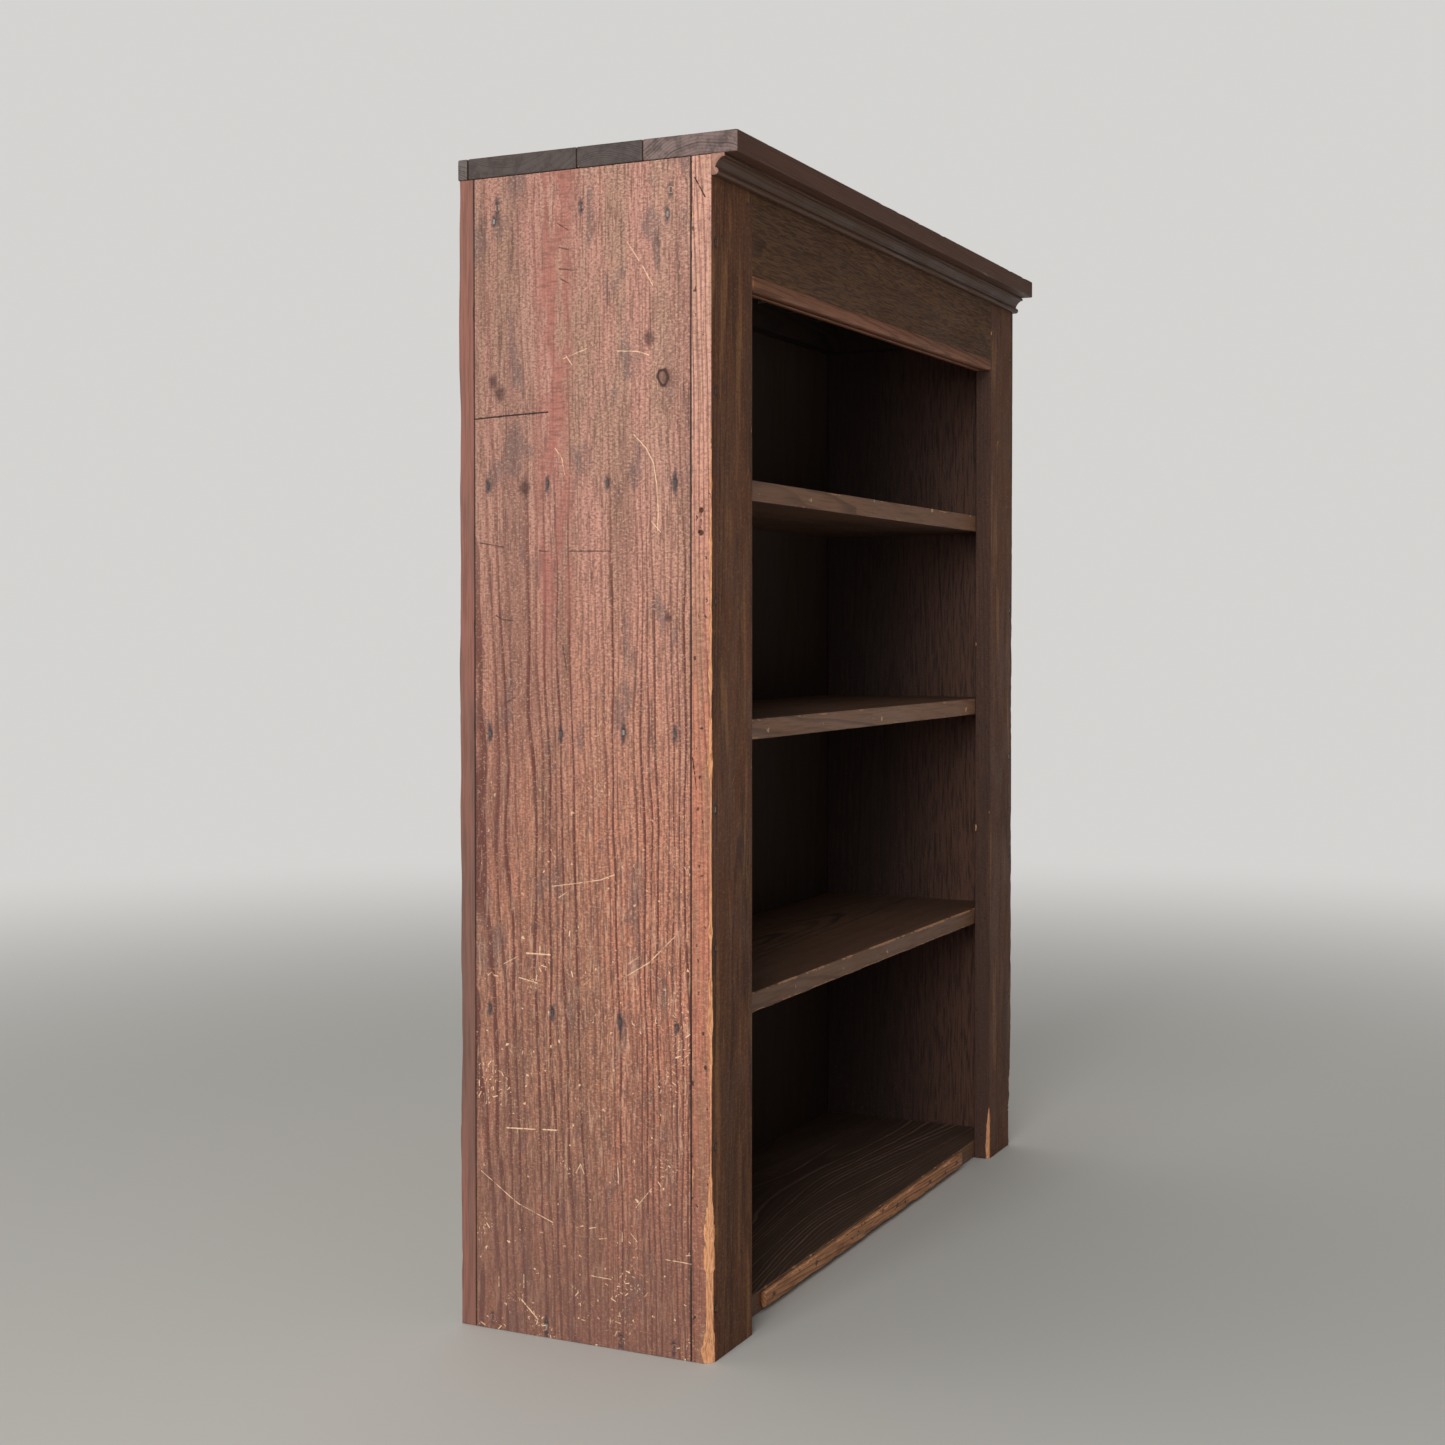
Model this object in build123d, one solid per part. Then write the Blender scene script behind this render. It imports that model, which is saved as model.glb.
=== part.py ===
"""Open-front bookcase of nailed softwood boards, one STEP file for each piece or group of nails.

Frame: millimetres, +X to the right of someone facing the open front, +Y from the front to the
back, +Z up. The origin is at the middle of the bounding box's bottom face.
"""

import math
import os

from build123d import *

# ---------------------------------------------------------------- driving dimensions
WIDTH = 1143.0  # over the two side boards
CARCASE_HEIGHT = 1389.0  # floor to the underside of the top
BOARD = 25.4  # every sawn board
SIDE_DEPTH = 292.1  # side boards and shelves, front to back
STILE_WIDTH = 114.3
BACK_THICKNESS = 22.2
BACK_BOARD_PITCH = 109.0
LAST_BACK_BOARD = 94.0  # ripped at the right-hand end
TONGUE_LENGTH, TONGUE_THICKNESS = 8.0, 7.0
GROOVE_DEPTH = 9.0

TOP_OVERHANG = 33.0
TOP_FRONT_DEPTH = 121.0
TOP_MIDDLE_DEPTH = 87.0
TOP_REAR_DEPTH = 149.0
TOP_JOINT_GAP = 0.6  # the boards have shrunk apart
TOP_STRIP_GAP = 1.2
TOP_CORNER_RADIUS = 4.0
TOP_END_CHAMFER = 1.0

SHELF_TOPS = {"shelf_lower": 401.7, "shelf_middle": 737.7, "shelf_upper": 1030.0}
BOTTOM_BOARD_TOP = 27.4
HOUSING_DEPTH = 8.0

FRIEZE_BOTTOM_LEFT, FRIEZE_BOTTOM_RIGHT = 1267.8, 1276.2  # it was fitted out of level
STRIP_HEIGHT = 17.0
STRIP_ROUND = 5.0
QUIRK_WIDTH, QUIRK_DEPTH, QUIRK_SETBACK = 1.6, 1.6, 14.0

CROWN_HEIGHT, CROWN_PROJECTION = 24.0, 16.5
CROWN_FILLET, CROWN_STEP, CROWN_BEAD_RADIUS = 4.1, 2.6, 4.1
CROWN_BEAD_CENTRE = 4.7  # how far the bead's centre stands forward of the frieze
COVE_SHIFT, COVE_DROP = 0.62, 0.38  # the cove's deepest point, as shares of its width and height
CLEAT_HEIGHT = 76.2

TOE_LENGTH, TOE_THICKNESS, TOE_HEIGHT = 757.0, 8.0, 21.0
TOE_END_RADIUS = 3.6

# Cut nails: a flat shank that tapers in its width, under a head of the same thickness.
NAIL_THICKNESS, NAIL_HEAD_WIDTH, NAIL_HEAD_HEIGHT = 2.6, 6.0, 1.6
NAIL_SHANK_WIDTH, NAIL_TIP_WIDTH = 4.0, 1.6
LONG_NAIL, SHORT_NAIL, BRAD = 63.5, 44.5, 31.8
NAIL_SET, BRAD_SET = 0.6, 1.6  # how far heads are driven below the surface
HOLE_MOUTH = 4.0  # how far a nail hole is cut past the nail's head, out through the surface

# ---------------------------------------------------------------- planes worked out from them
DEPTH = TOP_OVERHANG + BOARD + SIDE_DEPTH + BACK_THICKNESS
HALF_WIDTH = WIDTH / 2
INNER_HALF = HALF_WIDTH - BOARD  # inner face of a side board
OPENING_HALF = HALF_WIDTH - STILE_WIDTH  # inner edge of a stile
SHELF_HALF = INNER_HALF + HOUSING_DEPTH
FRONT = -DEPTH / 2 + TOP_OVERHANG  # front face of the stiles
SHELF_FRONT = FRONT + BOARD  # back face of the stiles
SHELF_BACK = SHELF_FRONT + SIDE_DEPTH  # front face of the back boards
BACK = SHELF_BACK + BACK_THICKNESS
CLEAT_BOTTOM = CARCASE_HEIGHT - CLEAT_HEIGHT
TOP_LEVEL = CARCASE_HEIGHT + BOARD
FRIEZE_ANGLE = math.degrees(math.atan2(FRIEZE_BOTTOM_RIGHT - FRIEZE_BOTTOM_LEFT, 2 * OPENING_HALF))
FRIEZE_MIDDLE = (FRIEZE_BOTTOM_LEFT + FRIEZE_BOTTOM_RIGHT) / 2

# ---------------------------------------------------------------- where the nails go
# (distance behind the stile's front face, height) on the left side board.
LEFT_NAILS = {
    "upper": [(298, 1020), (216, 1020), (135, 1019), (46, 1016)],
    "middle": [(296, 722), (198, 723.5), (114, 727), (47, 726.5)],
    "lower": [(297, 390), (210, 391), (119, 387), (44, 386)],
    "bottom": [(294, 14), (219, 13), (118, 12), (48, 13)],
    "cleat": [(284.5, 1352), (289, 1336), (170, 1343), (52, 1353), (56, 1325.5)],
}
RIGHT_NAILS = {
    "upper": [(292, 1018), (208, 1016), (128, 1019), (50, 1017)],
    "middle": [(295, 725), (205, 726), (121, 723), (45, 725)],
    "lower": [(290, 388), (214, 390), (124, 389), (49, 391)],
    "bottom": [(291, 14), (212, 14), (126, 13), (46, 13)],
    "cleat": [(286, 1350), (206, 1341), (126, 1345), (54, 1351)],
}
STILE_NAIL_HEIGHTS = [62, 250, 480, 640, 880, 1120, 1290]
CROWN_BRAD_COUNT, CROWN_BRAD_PITCH = 7, 178.0
STRIP_BRAD_COUNT, STRIP_BRAD_PITCH, STRIP_BRAD_SETBACK = 5, 205.0, 9.0
TOE_BRAD_XS = [-352, -214, -66, 88, 226, 349]
TOP_RAIL_NAIL_XS = [-525, -290, 12, 310, 530]  # into the stiles and the frieze
TOP_CLEAT_NAIL_XS = [-330, -110, 120, 335]  # into the rear cleat
TOP_STRIP_NAIL_XS = [-556, -340, -122, 101, 322, 552]
TOP_END_NAIL_DEPTHS = [75, 112, 152, 200, 252, 305]  # into the side boards
BACK_NAIL_HEIGHTS = [13, 389, 725, 1017, 1351]
BACK_EDGE_NAIL_HEIGHTS = [100, 430, 700, 960, 1260]


def box_between(low, high):
    """A block from its lowest corner to its highest corner."""
    size = [b - a for a, b in zip(low, high)]
    return Pos(*low) * Box(*size, align=(Align.MIN, Align.MIN, Align.MIN))


def cut_nail(length, mouth=0.0):
    """A cut nail along -Z, its head's top at the origin, or its hole, which goes on by a mouth."""
    head, shank, tip = NAIL_HEAD_WIDTH / 2, NAIL_SHANK_WIDTH / 2, NAIL_TIP_WIDTH / 2
    outline = Polyline(
        (-head, mouth),
        (head, mouth),
        (head, -NAIL_HEAD_HEIGHT),
        (shank, -NAIL_HEAD_HEIGHT),
        (tip, -length),
        (-tip, -length),
        (-shank, -NAIL_HEAD_HEIGHT),
        (-head, -NAIL_HEAD_HEIGHT),
        close=True,
    )
    return extrude(Plane.XZ * make_face(outline), NAIL_THICKNESS / 2, both=True)


def driven(rows, mouth=0.0):
    """The nails of some rows, or their holes. A row is (places, turn, length)."""
    return [
        Pos(*place) * turn * cut_nail(length, mouth)
        for places, turn, length in rows
        for place in places
    ]


# Turns that drive a nail into a face, with its width along the grain of the wood there.
INTO_LEFT = Rot(0, -90, 0)
INTO_RIGHT = Rot(0, 90, 0)
INTO_UPRIGHT_FRONT = Rot(90, 0, 0) * Rot(0, 0, 90)
INTO_LEVEL_FRONT = Rot(90, 0, 0)
INTO_BACK = Rot(-90, 0, 0) * Rot(0, 0, 90)
INTO_TOP = Rot(0, 0, 0)
INTO_UNDERSIDE = Rot(180, 0, 0)


# ---------------------------------------------------------------- carcase
def side_board(side):
    """A side board, with a housing for each shelf and for the bottom board; side is -1 or 1."""
    outer, inner = side * HALF_WIDTH, side * INNER_HALF
    board = box_between(
        (min(outer, inner), SHELF_FRONT, 0),
        (max(outer, inner), SHELF_BACK, CARCASE_HEIGHT),
    )
    floor = side * SHELF_HALF
    for top in [*SHELF_TOPS.values(), BOTTOM_BOARD_TOP]:
        board -= box_between(
            (min(floor, inner), SHELF_FRONT, top - BOARD),
            (max(floor, inner), SHELF_BACK, top),
        )
    return board


def front_stile(side):
    """A full-height stile over the front edge of a side board."""
    outer, inner = side * HALF_WIDTH, side * OPENING_HALF
    return box_between(
        (min(outer, inner), FRONT, 0),
        (max(outer, inner), SHELF_FRONT, CARCASE_HEIGHT),
    )


def shelf(top):
    """A shelf from housing to housing, from the stiles to the back boards."""
    return box_between(
        (-SHELF_HALF, SHELF_FRONT, top - BOARD),
        (SHELF_HALF, SHELF_BACK, top),
    )


def side_cleat(side):
    """A cleat along the top inside edge of a side board."""
    outer, inner = side * INNER_HALF, side * (INNER_HALF - BOARD)
    return box_between(
        (min(outer, inner), SHELF_FRONT, CLEAT_BOTTOM),
        (max(outer, inner), SHELF_BACK, CARCASE_HEIGHT),
    )


def rear_cleat():
    """A cleat between the side cleats, behind which the back boards are nailed."""
    reach = INNER_HALF - BOARD
    return box_between(
        (-reach, SHELF_BACK - BOARD, CLEAT_BOTTOM),
        (reach, SHELF_BACK, CARCASE_HEIGHT),
    )


# ---------------------------------------------------------------- frieze and crown
def out_of_level():
    """The slope of the frieze's lower joint, about its middle."""
    return Pos(0, 0, FRIEZE_MIDDLE) * Rot(0, -FRIEZE_ANGLE, 0)


def between_stiles():
    """The space between the stiles that the frieze and its strip fill."""
    return box_between(
        (-OPENING_HALF, FRONT, CLEAT_BOTTOM - 2 * STILE_WIDTH),
        (OPENING_HALF, SHELF_FRONT, CARCASE_HEIGHT),
    )


def frieze_board():
    """The board between the stiles, above the sloping joint."""
    above = out_of_level() * box_between((-WIDTH, -DEPTH, 0), (WIDTH, DEPTH, WIDTH))
    return between_stiles() & above


def frieze_strip():
    """The strip under the frieze: a round lower front edge and a quirk along its underside."""
    quirk_front = FRONT + QUIRK_SETBACK
    quirk_back = quirk_front + QUIRK_WIDTH
    outline = Polyline(
        (FRONT, STRIP_ROUND - STRIP_HEIGHT),
        (FRONT, 0),
        (SHELF_FRONT, 0),
        (SHELF_FRONT, -STRIP_HEIGHT),
        (quirk_back, -STRIP_HEIGHT),
        (quirk_back, QUIRK_DEPTH - STRIP_HEIGHT),
        (quirk_front, QUIRK_DEPTH - STRIP_HEIGHT),
        (quirk_front, -STRIP_HEIGHT),
        (FRONT + STRIP_ROUND, -STRIP_HEIGHT),
    )
    round_slant = STRIP_ROUND * (1 - math.sqrt(0.5))
    outline += ThreePointArc(
        (FRONT + STRIP_ROUND, -STRIP_HEIGHT),
        (FRONT + round_slant, round_slant - STRIP_HEIGHT),
        (FRONT, STRIP_ROUND - STRIP_HEIGHT),
    )
    bar = extrude(Plane.YZ * make_face(outline), HALF_WIDTH, both=True)
    return (out_of_level() * bar) & between_stiles()


def cove_between():
    """The cove's front and back edges and its deepest point, as (distance forward, height)."""
    front = (CROWN_STEP - CROWN_PROJECTION, -CROWN_FILLET)
    back = (-CROWN_BEAD_CENTRE, 2 * CROWN_BEAD_RADIUS - CROWN_HEIGHT)
    deepest = (
        front[0] + (back[0] - front[0]) * COVE_SHIFT,
        front[1] + (back[1] - front[1]) * COVE_DROP,
    )
    return front, deepest, back


def crown_moulding():
    """Moulding under the overhang: a fillet, a cove and a bead, from the top down."""
    cove_front, cove_deepest, cove_back = cove_between()
    bead_bottom = (cove_back[0], -CROWN_HEIGHT)
    bead_front = (cove_back[0] - CROWN_BEAD_RADIUS, cove_back[1] - CROWN_BEAD_RADIUS)
    outline = Polyline(
        bead_bottom,
        (0, -CROWN_HEIGHT),
        (0, 0),
        (-CROWN_PROJECTION, 0),
        (-CROWN_PROJECTION, -CROWN_FILLET),
        cove_front,
    )
    outline += ThreePointArc(cove_front, cove_deepest, cove_back)
    outline += ThreePointArc(cove_back, bead_front, bead_bottom)
    bar = extrude(Plane.YZ * make_face(outline), HALF_WIDTH, both=True)
    return Pos(0, FRONT, CARCASE_HEIGHT) * bar


# ---------------------------------------------------------------- top, toe strip and back
def top_board(front, depth):
    """One board of the top, running from side to side, with its upper arrises eased."""
    board = box_between((-HALF_WIDTH, front, CARCASE_HEIGHT), (HALF_WIDTH, front + depth, TOP_LEVEL))
    ends = board.edges().filter_by(Axis.Y).group_by(Axis.Z)[-1]
    return chamfer(ends, TOP_END_CHAMFER)


def top_back_strip(front):
    """The strip over the back boards, with its outer rear corners rounded."""
    strip = box_between((-HALF_WIDTH, front, CARCASE_HEIGHT), (HALF_WIDTH, BACK, TOP_LEVEL))
    corners = strip.edges().filter_by(Axis.Z).group_by(Axis.Y)[-1]
    return fillet(corners, TOP_CORNER_RADIUS)


def toe_strip():
    """A thin strip on the front edge of the bottom board, with worn, rounded ends."""
    strip = box_between(
        (-TOE_LENGTH / 2, SHELF_FRONT - TOE_THICKNESS, BOTTOM_BOARD_TOP - TOE_HEIGHT),
        (TOE_LENGTH / 2, SHELF_FRONT, BOTTOM_BOARD_TOP),
    )
    front_corners = strip.edges().filter_by(Axis.Z).group_by(Axis.Y)[0]
    return fillet(front_corners, TOE_END_RADIUS)


def back_board_edges():
    """The joints between back boards from left to right, with the two outer edges."""
    joints = []
    joint = HALF_WIDTH - LAST_BACK_BOARD
    while joint > -HALF_WIDTH + STILE_WIDTH / 2:
        joints.append(joint)
        joint -= BACK_BOARD_PITCH
    return [-HALF_WIDTH, *reversed(joints), HALF_WIDTH]


def back_board(left, right):
    """One back board: a tongue on its right edge and a groove in its left, except at the ends."""
    board = box_between((left, SHELF_BACK, 0), (right, BACK, CARCASE_HEIGHT))
    middle = (SHELF_BACK + BACK) / 2
    half_tongue = TONGUE_THICKNESS / 2
    if right < HALF_WIDTH:
        board += box_between(
            (right, middle - half_tongue, 0),
            (right + TONGUE_LENGTH, middle + half_tongue, CARCASE_HEIGHT),
        )
    if left > -HALF_WIDTH:
        board -= box_between(
            (left, middle - half_tongue, 0),
            (left + GROOVE_DEPTH, middle + half_tongue, CARCASE_HEIGHT),
        )
    return board


# ---------------------------------------------------------------- the pieces, by name
TOP_FRONT = FRONT - TOP_OVERHANG
TOP_MIDDLE = TOP_FRONT + TOP_FRONT_DEPTH + TOP_JOINT_GAP
TOP_REAR = TOP_MIDDLE + TOP_MIDDLE_DEPTH + TOP_JOINT_GAP
TOP_STRIP = TOP_REAR + TOP_REAR_DEPTH + TOP_STRIP_GAP

pieces = {
    "left_side_board": side_board(-1),
    "right_side_board": side_board(1),
    "left_front_stile": front_stile(-1),
    "right_front_stile": front_stile(1),
    "frieze_board": frieze_board(),
    "frieze_bottom_strip": frieze_strip(),
    "crown_moulding": crown_moulding(),
    "left_top_cleat": side_cleat(-1),
    "right_top_cleat": side_cleat(1),
    "rear_top_cleat": rear_cleat(),
    "top_board_front": top_board(TOP_FRONT, TOP_FRONT_DEPTH),
    "top_board_middle": top_board(TOP_MIDDLE, TOP_MIDDLE_DEPTH),
    "top_board_rear": top_board(TOP_REAR, TOP_REAR_DEPTH),
    "top_back_strip": top_back_strip(TOP_STRIP),
    "bottom_board": shelf(BOTTOM_BOARD_TOP),
    "toe_strip": toe_strip(),
}
for name, top in SHELF_TOPS.items():
    pieces[name] = shelf(top)
back_edges = back_board_edges()
for number, (left, right) in enumerate(zip(back_edges, back_edges[1:]), 1):
    pieces[f"back_board_{number:02d}"] = back_board(left, right)


# ---------------------------------------------------------------- nails, in groups
def side_rows(side, rows):
    """Nails through a side board: long ones into the shelves, short ones into the cleat."""
    turn = INTO_LEFT if side < 0 else INTO_RIGHT
    head = side * (HALF_WIDTH - NAIL_SET)
    return [
        (
            [(head, FRONT + back, height) for back, height in places],
            turn,
            SHORT_NAIL if row == "cleat" else LONG_NAIL,
        )
        for row, places in rows.items()
    ]


def evenly(count, pitch):
    """Evenly spaced positions along X about the middle."""
    return [(number - (count - 1) / 2) * pitch for number in range(count)]


def top_rows():
    """Nails down through the top boards, and shorter ones through the back strip."""
    head = TOP_LEVEL - NAIL_SET
    places = [(x, FRONT + BOARD / 2, head) for x in TOP_RAIL_NAIL_XS]
    places += [
        (side * (HALF_WIDTH - BOARD / 2), FRONT + back, head)
        for side in (-1, 1)
        for back in TOP_END_NAIL_DEPTHS
    ]
    places += [(x, SHELF_BACK - BOARD / 2, head) for x in TOP_CLEAT_NAIL_XS]
    strip = [(x, (TOP_STRIP + BACK) / 2, head) for x in TOP_STRIP_NAIL_XS]
    return [(places, INTO_TOP, LONG_NAIL), (strip, INTO_TOP, SHORT_NAIL)]


def back_rows():
    """Nails through the back boards: into the shelves, and at the ends into the side boards."""
    head = BACK - NAIL_SET
    places = [
        ((left + right) / 2, head, height)
        for left, right in zip(back_edges[1:], back_edges[2:-1])
        for height in BACK_NAIL_HEIGHTS
    ]
    places += [
        (side * (HALF_WIDTH - BOARD / 2), head, height)
        for side in (-1, 1)
        for height in BACK_EDGE_NAIL_HEIGHTS
    ]
    return [(places, INTO_BACK, LONG_NAIL)]


def front_row(places, set_back, turn, length):
    """A row of nails into front faces, from places of (x, face, height)."""
    return [([(x, face + set_back, height) for x, face, height in places], turn, length)]


stile_places = [
    (side * (HALF_WIDTH - BOARD / 2), FRONT, height)
    for side in (-1, 1)
    for height in STILE_NAIL_HEIGHTS
]
cove_forward, cove_down = cove_between()[1]
crown_places = [
    (x, FRONT + cove_forward, CARCASE_HEIGHT + cove_down)
    for x in evenly(CROWN_BRAD_COUNT, CROWN_BRAD_PITCH)
]
toe_middle = BOTTOM_BOARD_TOP - TOE_HEIGHT / 2
toe_places = [(x, SHELF_FRONT - TOE_THICKNESS, toe_middle) for x in TOE_BRAD_XS]
frieze_slope = math.tan(math.radians(FRIEZE_ANGLE))
strip_places = [
    (x, FRONT + STRIP_BRAD_SETBACK, FRIEZE_MIDDLE - STRIP_HEIGHT + NAIL_SET + frieze_slope * x)
    for x in evenly(STRIP_BRAD_COUNT, STRIP_BRAD_PITCH)
]

nail_groups = {
    "left_side_nails": side_rows(-1, LEFT_NAILS),
    "right_side_nails": side_rows(1, RIGHT_NAILS),
    "stile_nails": front_row(stile_places, NAIL_SET, INTO_UPRIGHT_FRONT, LONG_NAIL),
    "crown_brads": front_row(crown_places, BRAD_SET, INTO_LEVEL_FRONT, BRAD),
    "toe_strip_brads": front_row(toe_places, NAIL_SET, INTO_LEVEL_FRONT, BRAD),
    "frieze_strip_brads": [(strip_places, INTO_UNDERSIDE, LONG_NAIL)],
    "top_board_nails": top_rows(),
    "back_board_nails": back_rows(),
}


def meet(a, b):
    """Whether the bounding boxes of two shapes meet."""
    box_a, box_b = a.bounding_box(), b.bounding_box()
    return all(
        low_a < high_b and low_b < high_a
        for low_a, high_a, low_b, high_b in zip(box_a.min, box_a.max, box_b.min, box_b.max)
    )


holes = [hole for rows in nail_groups.values() for hole in driven(rows, HOLE_MOUTH)]
os.makedirs("parts", exist_ok=True)
for name, piece in pieces.items():
    own_holes = [hole for hole in holes if meet(hole, piece)]
    export_step(piece - own_holes if own_holes else piece, f"parts/{name}.step")
for name, rows in nail_groups.items():
    export_step(Compound(driven(rows)), f"parts/{name}.step")
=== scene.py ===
"""The looks of an old open-front bookcase of stained softwood boards, worn by long use."""

import math

import bmesh
import bpy
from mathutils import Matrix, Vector, noise


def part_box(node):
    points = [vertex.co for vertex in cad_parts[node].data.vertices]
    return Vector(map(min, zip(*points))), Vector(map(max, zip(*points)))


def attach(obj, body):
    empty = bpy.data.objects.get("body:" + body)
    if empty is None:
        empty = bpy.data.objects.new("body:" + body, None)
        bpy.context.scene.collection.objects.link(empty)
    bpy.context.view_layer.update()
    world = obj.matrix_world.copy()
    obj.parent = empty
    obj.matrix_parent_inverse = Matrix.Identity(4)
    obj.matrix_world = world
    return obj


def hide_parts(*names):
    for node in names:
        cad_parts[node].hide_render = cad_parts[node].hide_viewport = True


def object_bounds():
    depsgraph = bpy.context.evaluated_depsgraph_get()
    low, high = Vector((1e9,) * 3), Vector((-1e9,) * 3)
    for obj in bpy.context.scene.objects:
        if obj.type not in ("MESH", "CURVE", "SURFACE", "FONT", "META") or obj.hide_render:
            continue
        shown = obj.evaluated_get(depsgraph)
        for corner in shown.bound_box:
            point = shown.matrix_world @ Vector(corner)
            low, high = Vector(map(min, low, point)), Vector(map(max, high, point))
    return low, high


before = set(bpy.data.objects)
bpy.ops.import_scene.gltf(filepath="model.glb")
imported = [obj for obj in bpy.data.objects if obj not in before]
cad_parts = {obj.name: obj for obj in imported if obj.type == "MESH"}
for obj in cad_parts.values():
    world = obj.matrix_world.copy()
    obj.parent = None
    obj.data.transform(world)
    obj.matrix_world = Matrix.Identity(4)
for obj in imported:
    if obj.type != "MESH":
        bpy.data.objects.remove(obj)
cad_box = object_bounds()

# ------------------------------------------------------------------------------------------
# Left side board: one wide softwood plank on end, with a housing for each shelf, nailed from
# outside. Its thin red-brown stain has faded and worn, and its nails have bled blue-black.

AXES = {"X": Vector((1, 0, 0)), "Y": Vector((0, 1, 0)), "Z": Vector((0, 0, 1))}
SHELVES = ["shelf_upper", "shelf_middle", "shelf_lower", "bottom_board"]
FACE_CELL = 0.006
ARRIS = 0.0008
HOLDING_LOOP = 0.0022  # how far in from an edge a loop holds the flat face flat


def cut_along(bm, axis, cell):
    """Cuts every edge that runs along an axis into pieces no longer than a cell."""
    by_count = {}
    for edge in bm.edges:
        run = edge.verts[1].co - edge.verts[0].co
        if run.length > 1.2 * cell and abs(run.normalized().dot(axis)) > 0.9999:
            by_count.setdefault(math.ceil(run.length / cell) - 1, []).append(edge)
    for count, edges in by_count.items():
        bmesh.ops.subdivide_edges(bm, edges=edges, cuts=count, use_grid_fill=True)


def loop_across(bm, point, axis):
    """Adds a loop of edges where a plane through a point cuts a board."""
    everything = [*bm.verts, *bm.edges, *bm.faces]
    bmesh.ops.bisect_plane(bm, geom=everything, plane_co=point, plane_no=AXES[axis])


def ease_arrises(bm, edges, width, segments=2):
    """Rounds some edges over, as a plane and years of handling do."""
    bmesh.ops.bevel(
        bm, geom=edges, offset=width, offset_type="OFFSET", affect="EDGES",
        segments=segments, profile=0.5, material=-1, clamp_overlap=True,
    )


def into_cells(bm, low, high, cells):
    """Holds a board's faces flat next to its edges, and cuts them into cells."""
    for index, axis in enumerate("XYZ"):
        if high[index] - low[index] > 4 * HOLDING_LOOP:
            for inset in (HOLDING_LOOP, high[index] - low[index] - HOLDING_LOOP):
                loop_across(bm, low + AXES[axis] * inset, axis)
    for axis, cell in zip("XYZ", cells):
        cut_along(bm, AXES[axis], cell)


def block(low, high):
    """A square-edged block between two corners."""
    bm = bmesh.new()
    bmesh.ops.create_cube(bm, size=1.0)
    bmesh.ops.scale(bm, vec=high - low, verts=bm.verts)
    bmesh.ops.translate(bm, vec=(low + high) / 2, verts=bm.verts)
    return bm


def draw_out(bm, along):
    """Draws a flat outline out into a solid."""
    swept = bmesh.ops.extrude_face_region(bm, geom=list(bm.faces))["geom"]
    moved = [vert for vert in swept if isinstance(vert, bmesh.types.BMVert)]
    bmesh.ops.translate(bm, vec=along, verts=moved)
    bmesh.ops.recalc_face_normals(bm, faces=bm.faces)


def plank(low, high, cells, arris=ARRIS, loops=()):
    """A board between two corners, with eased arrises and its faces cut into cells.
    Loops are (point, axis) cuts added where the wear needs a finer mesh."""
    bm = block(low, high)
    ease_arrises(bm, list(bm.edges), arris)
    for point, axis in loops:
        loop_across(bm, point, axis)
    into_cells(bm, low, high, cells)
    return bm


def housed_plank(low, high, outer):
    """A side board with a housing for each shelf cut into the face that isn't the outer one."""
    inner = low.x + high.x - outer
    outline = [(outer, high.z), (outer, low.z), (inner, low.z)]
    for shelf in reversed(SHELVES):
        shelf_low, shelf_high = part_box(shelf)
        floor = shelf_low.x if inner < 0 else shelf_high.x
        outline += [(inner, shelf_low.z), (floor, shelf_low.z)]
        outline += [(floor, shelf_high.z), (inner, shelf_high.z)]
    outline.append((inner, high.z))
    bm = bmesh.new()
    bmesh.ops.contextual_create(bm, geom=[bm.verts.new((x, low.y, z)) for x, z in outline])
    draw_out(bm, Vector((0, high.y - low.y, 0)))
    ease_arrises(bm, [e for e in bm.edges if all(v.co.x == outer for v in e.verts)], ARRIS)
    into_cells(bm, low, high, (FACE_CELL, FACE_CELL, FACE_CELL))
    return bm


def paint(bm, name):
    """The layer of a name in which a mesh is painted, from 0 to 1."""
    return bm.verts.layers.float.get(name) or bm.verts.layers.float.new(name)


def weather(bm, low, high, grain, depth, seed):
    """Lets the faces wander inwards, in long shallow waves along the grain."""
    stretch = Vector((30, 30, 30)) - AXES[grain] * 24
    for vert in bm.verts:
        for index in range(3):
            spot = vert.co * stretch + Vector((seed, index * 9.1, 3.3 * seed))
            wave = depth * (0.5 + 0.5 * noise.noise(spot))
            if vert.co[index] < low[index] + ARRIS * 0.6:
                vert.co[index] += wave
            elif vert.co[index] > high[index] - ARRIS * 0.6:
                vert.co[index] -= wave


def knock_arrises(bm, low, high, grain, depth, seed, often=0.15):
    """Dents the long arrises here and there, up to a depth, and bares the wood in the dents."""
    raw = paint(bm, "raw")
    across = [index for index, axis in enumerate("XYZ") if axis != grain]
    middle = (low + high) / 2
    for vert in bm.verts:
        gaps = [min(vert.co[i] - low[i], high[i] - vert.co[i]) for i in across]
        if max(gaps) > 0.003:
            continue
        spot = vert.co * 24 + Vector((seed, 2.3 * seed, 4.1 * seed))
        knock = noise.noise(spot) + 0.6 * noise.noise(spot * 3.7) - 0.5 + often * 2
        if knock > 0:
            reach = 1 - max(gaps) / 0.003
            for i in across:
                inward = math.copysign(1, middle[i] - vert.co[i])
                vert.co[i] += inward * depth * min(1, knock * 2) * reach
            vert[raw] = max(vert[raw], min(1, knock * 2.5) * (0.4 + 0.6 * reach))


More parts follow.
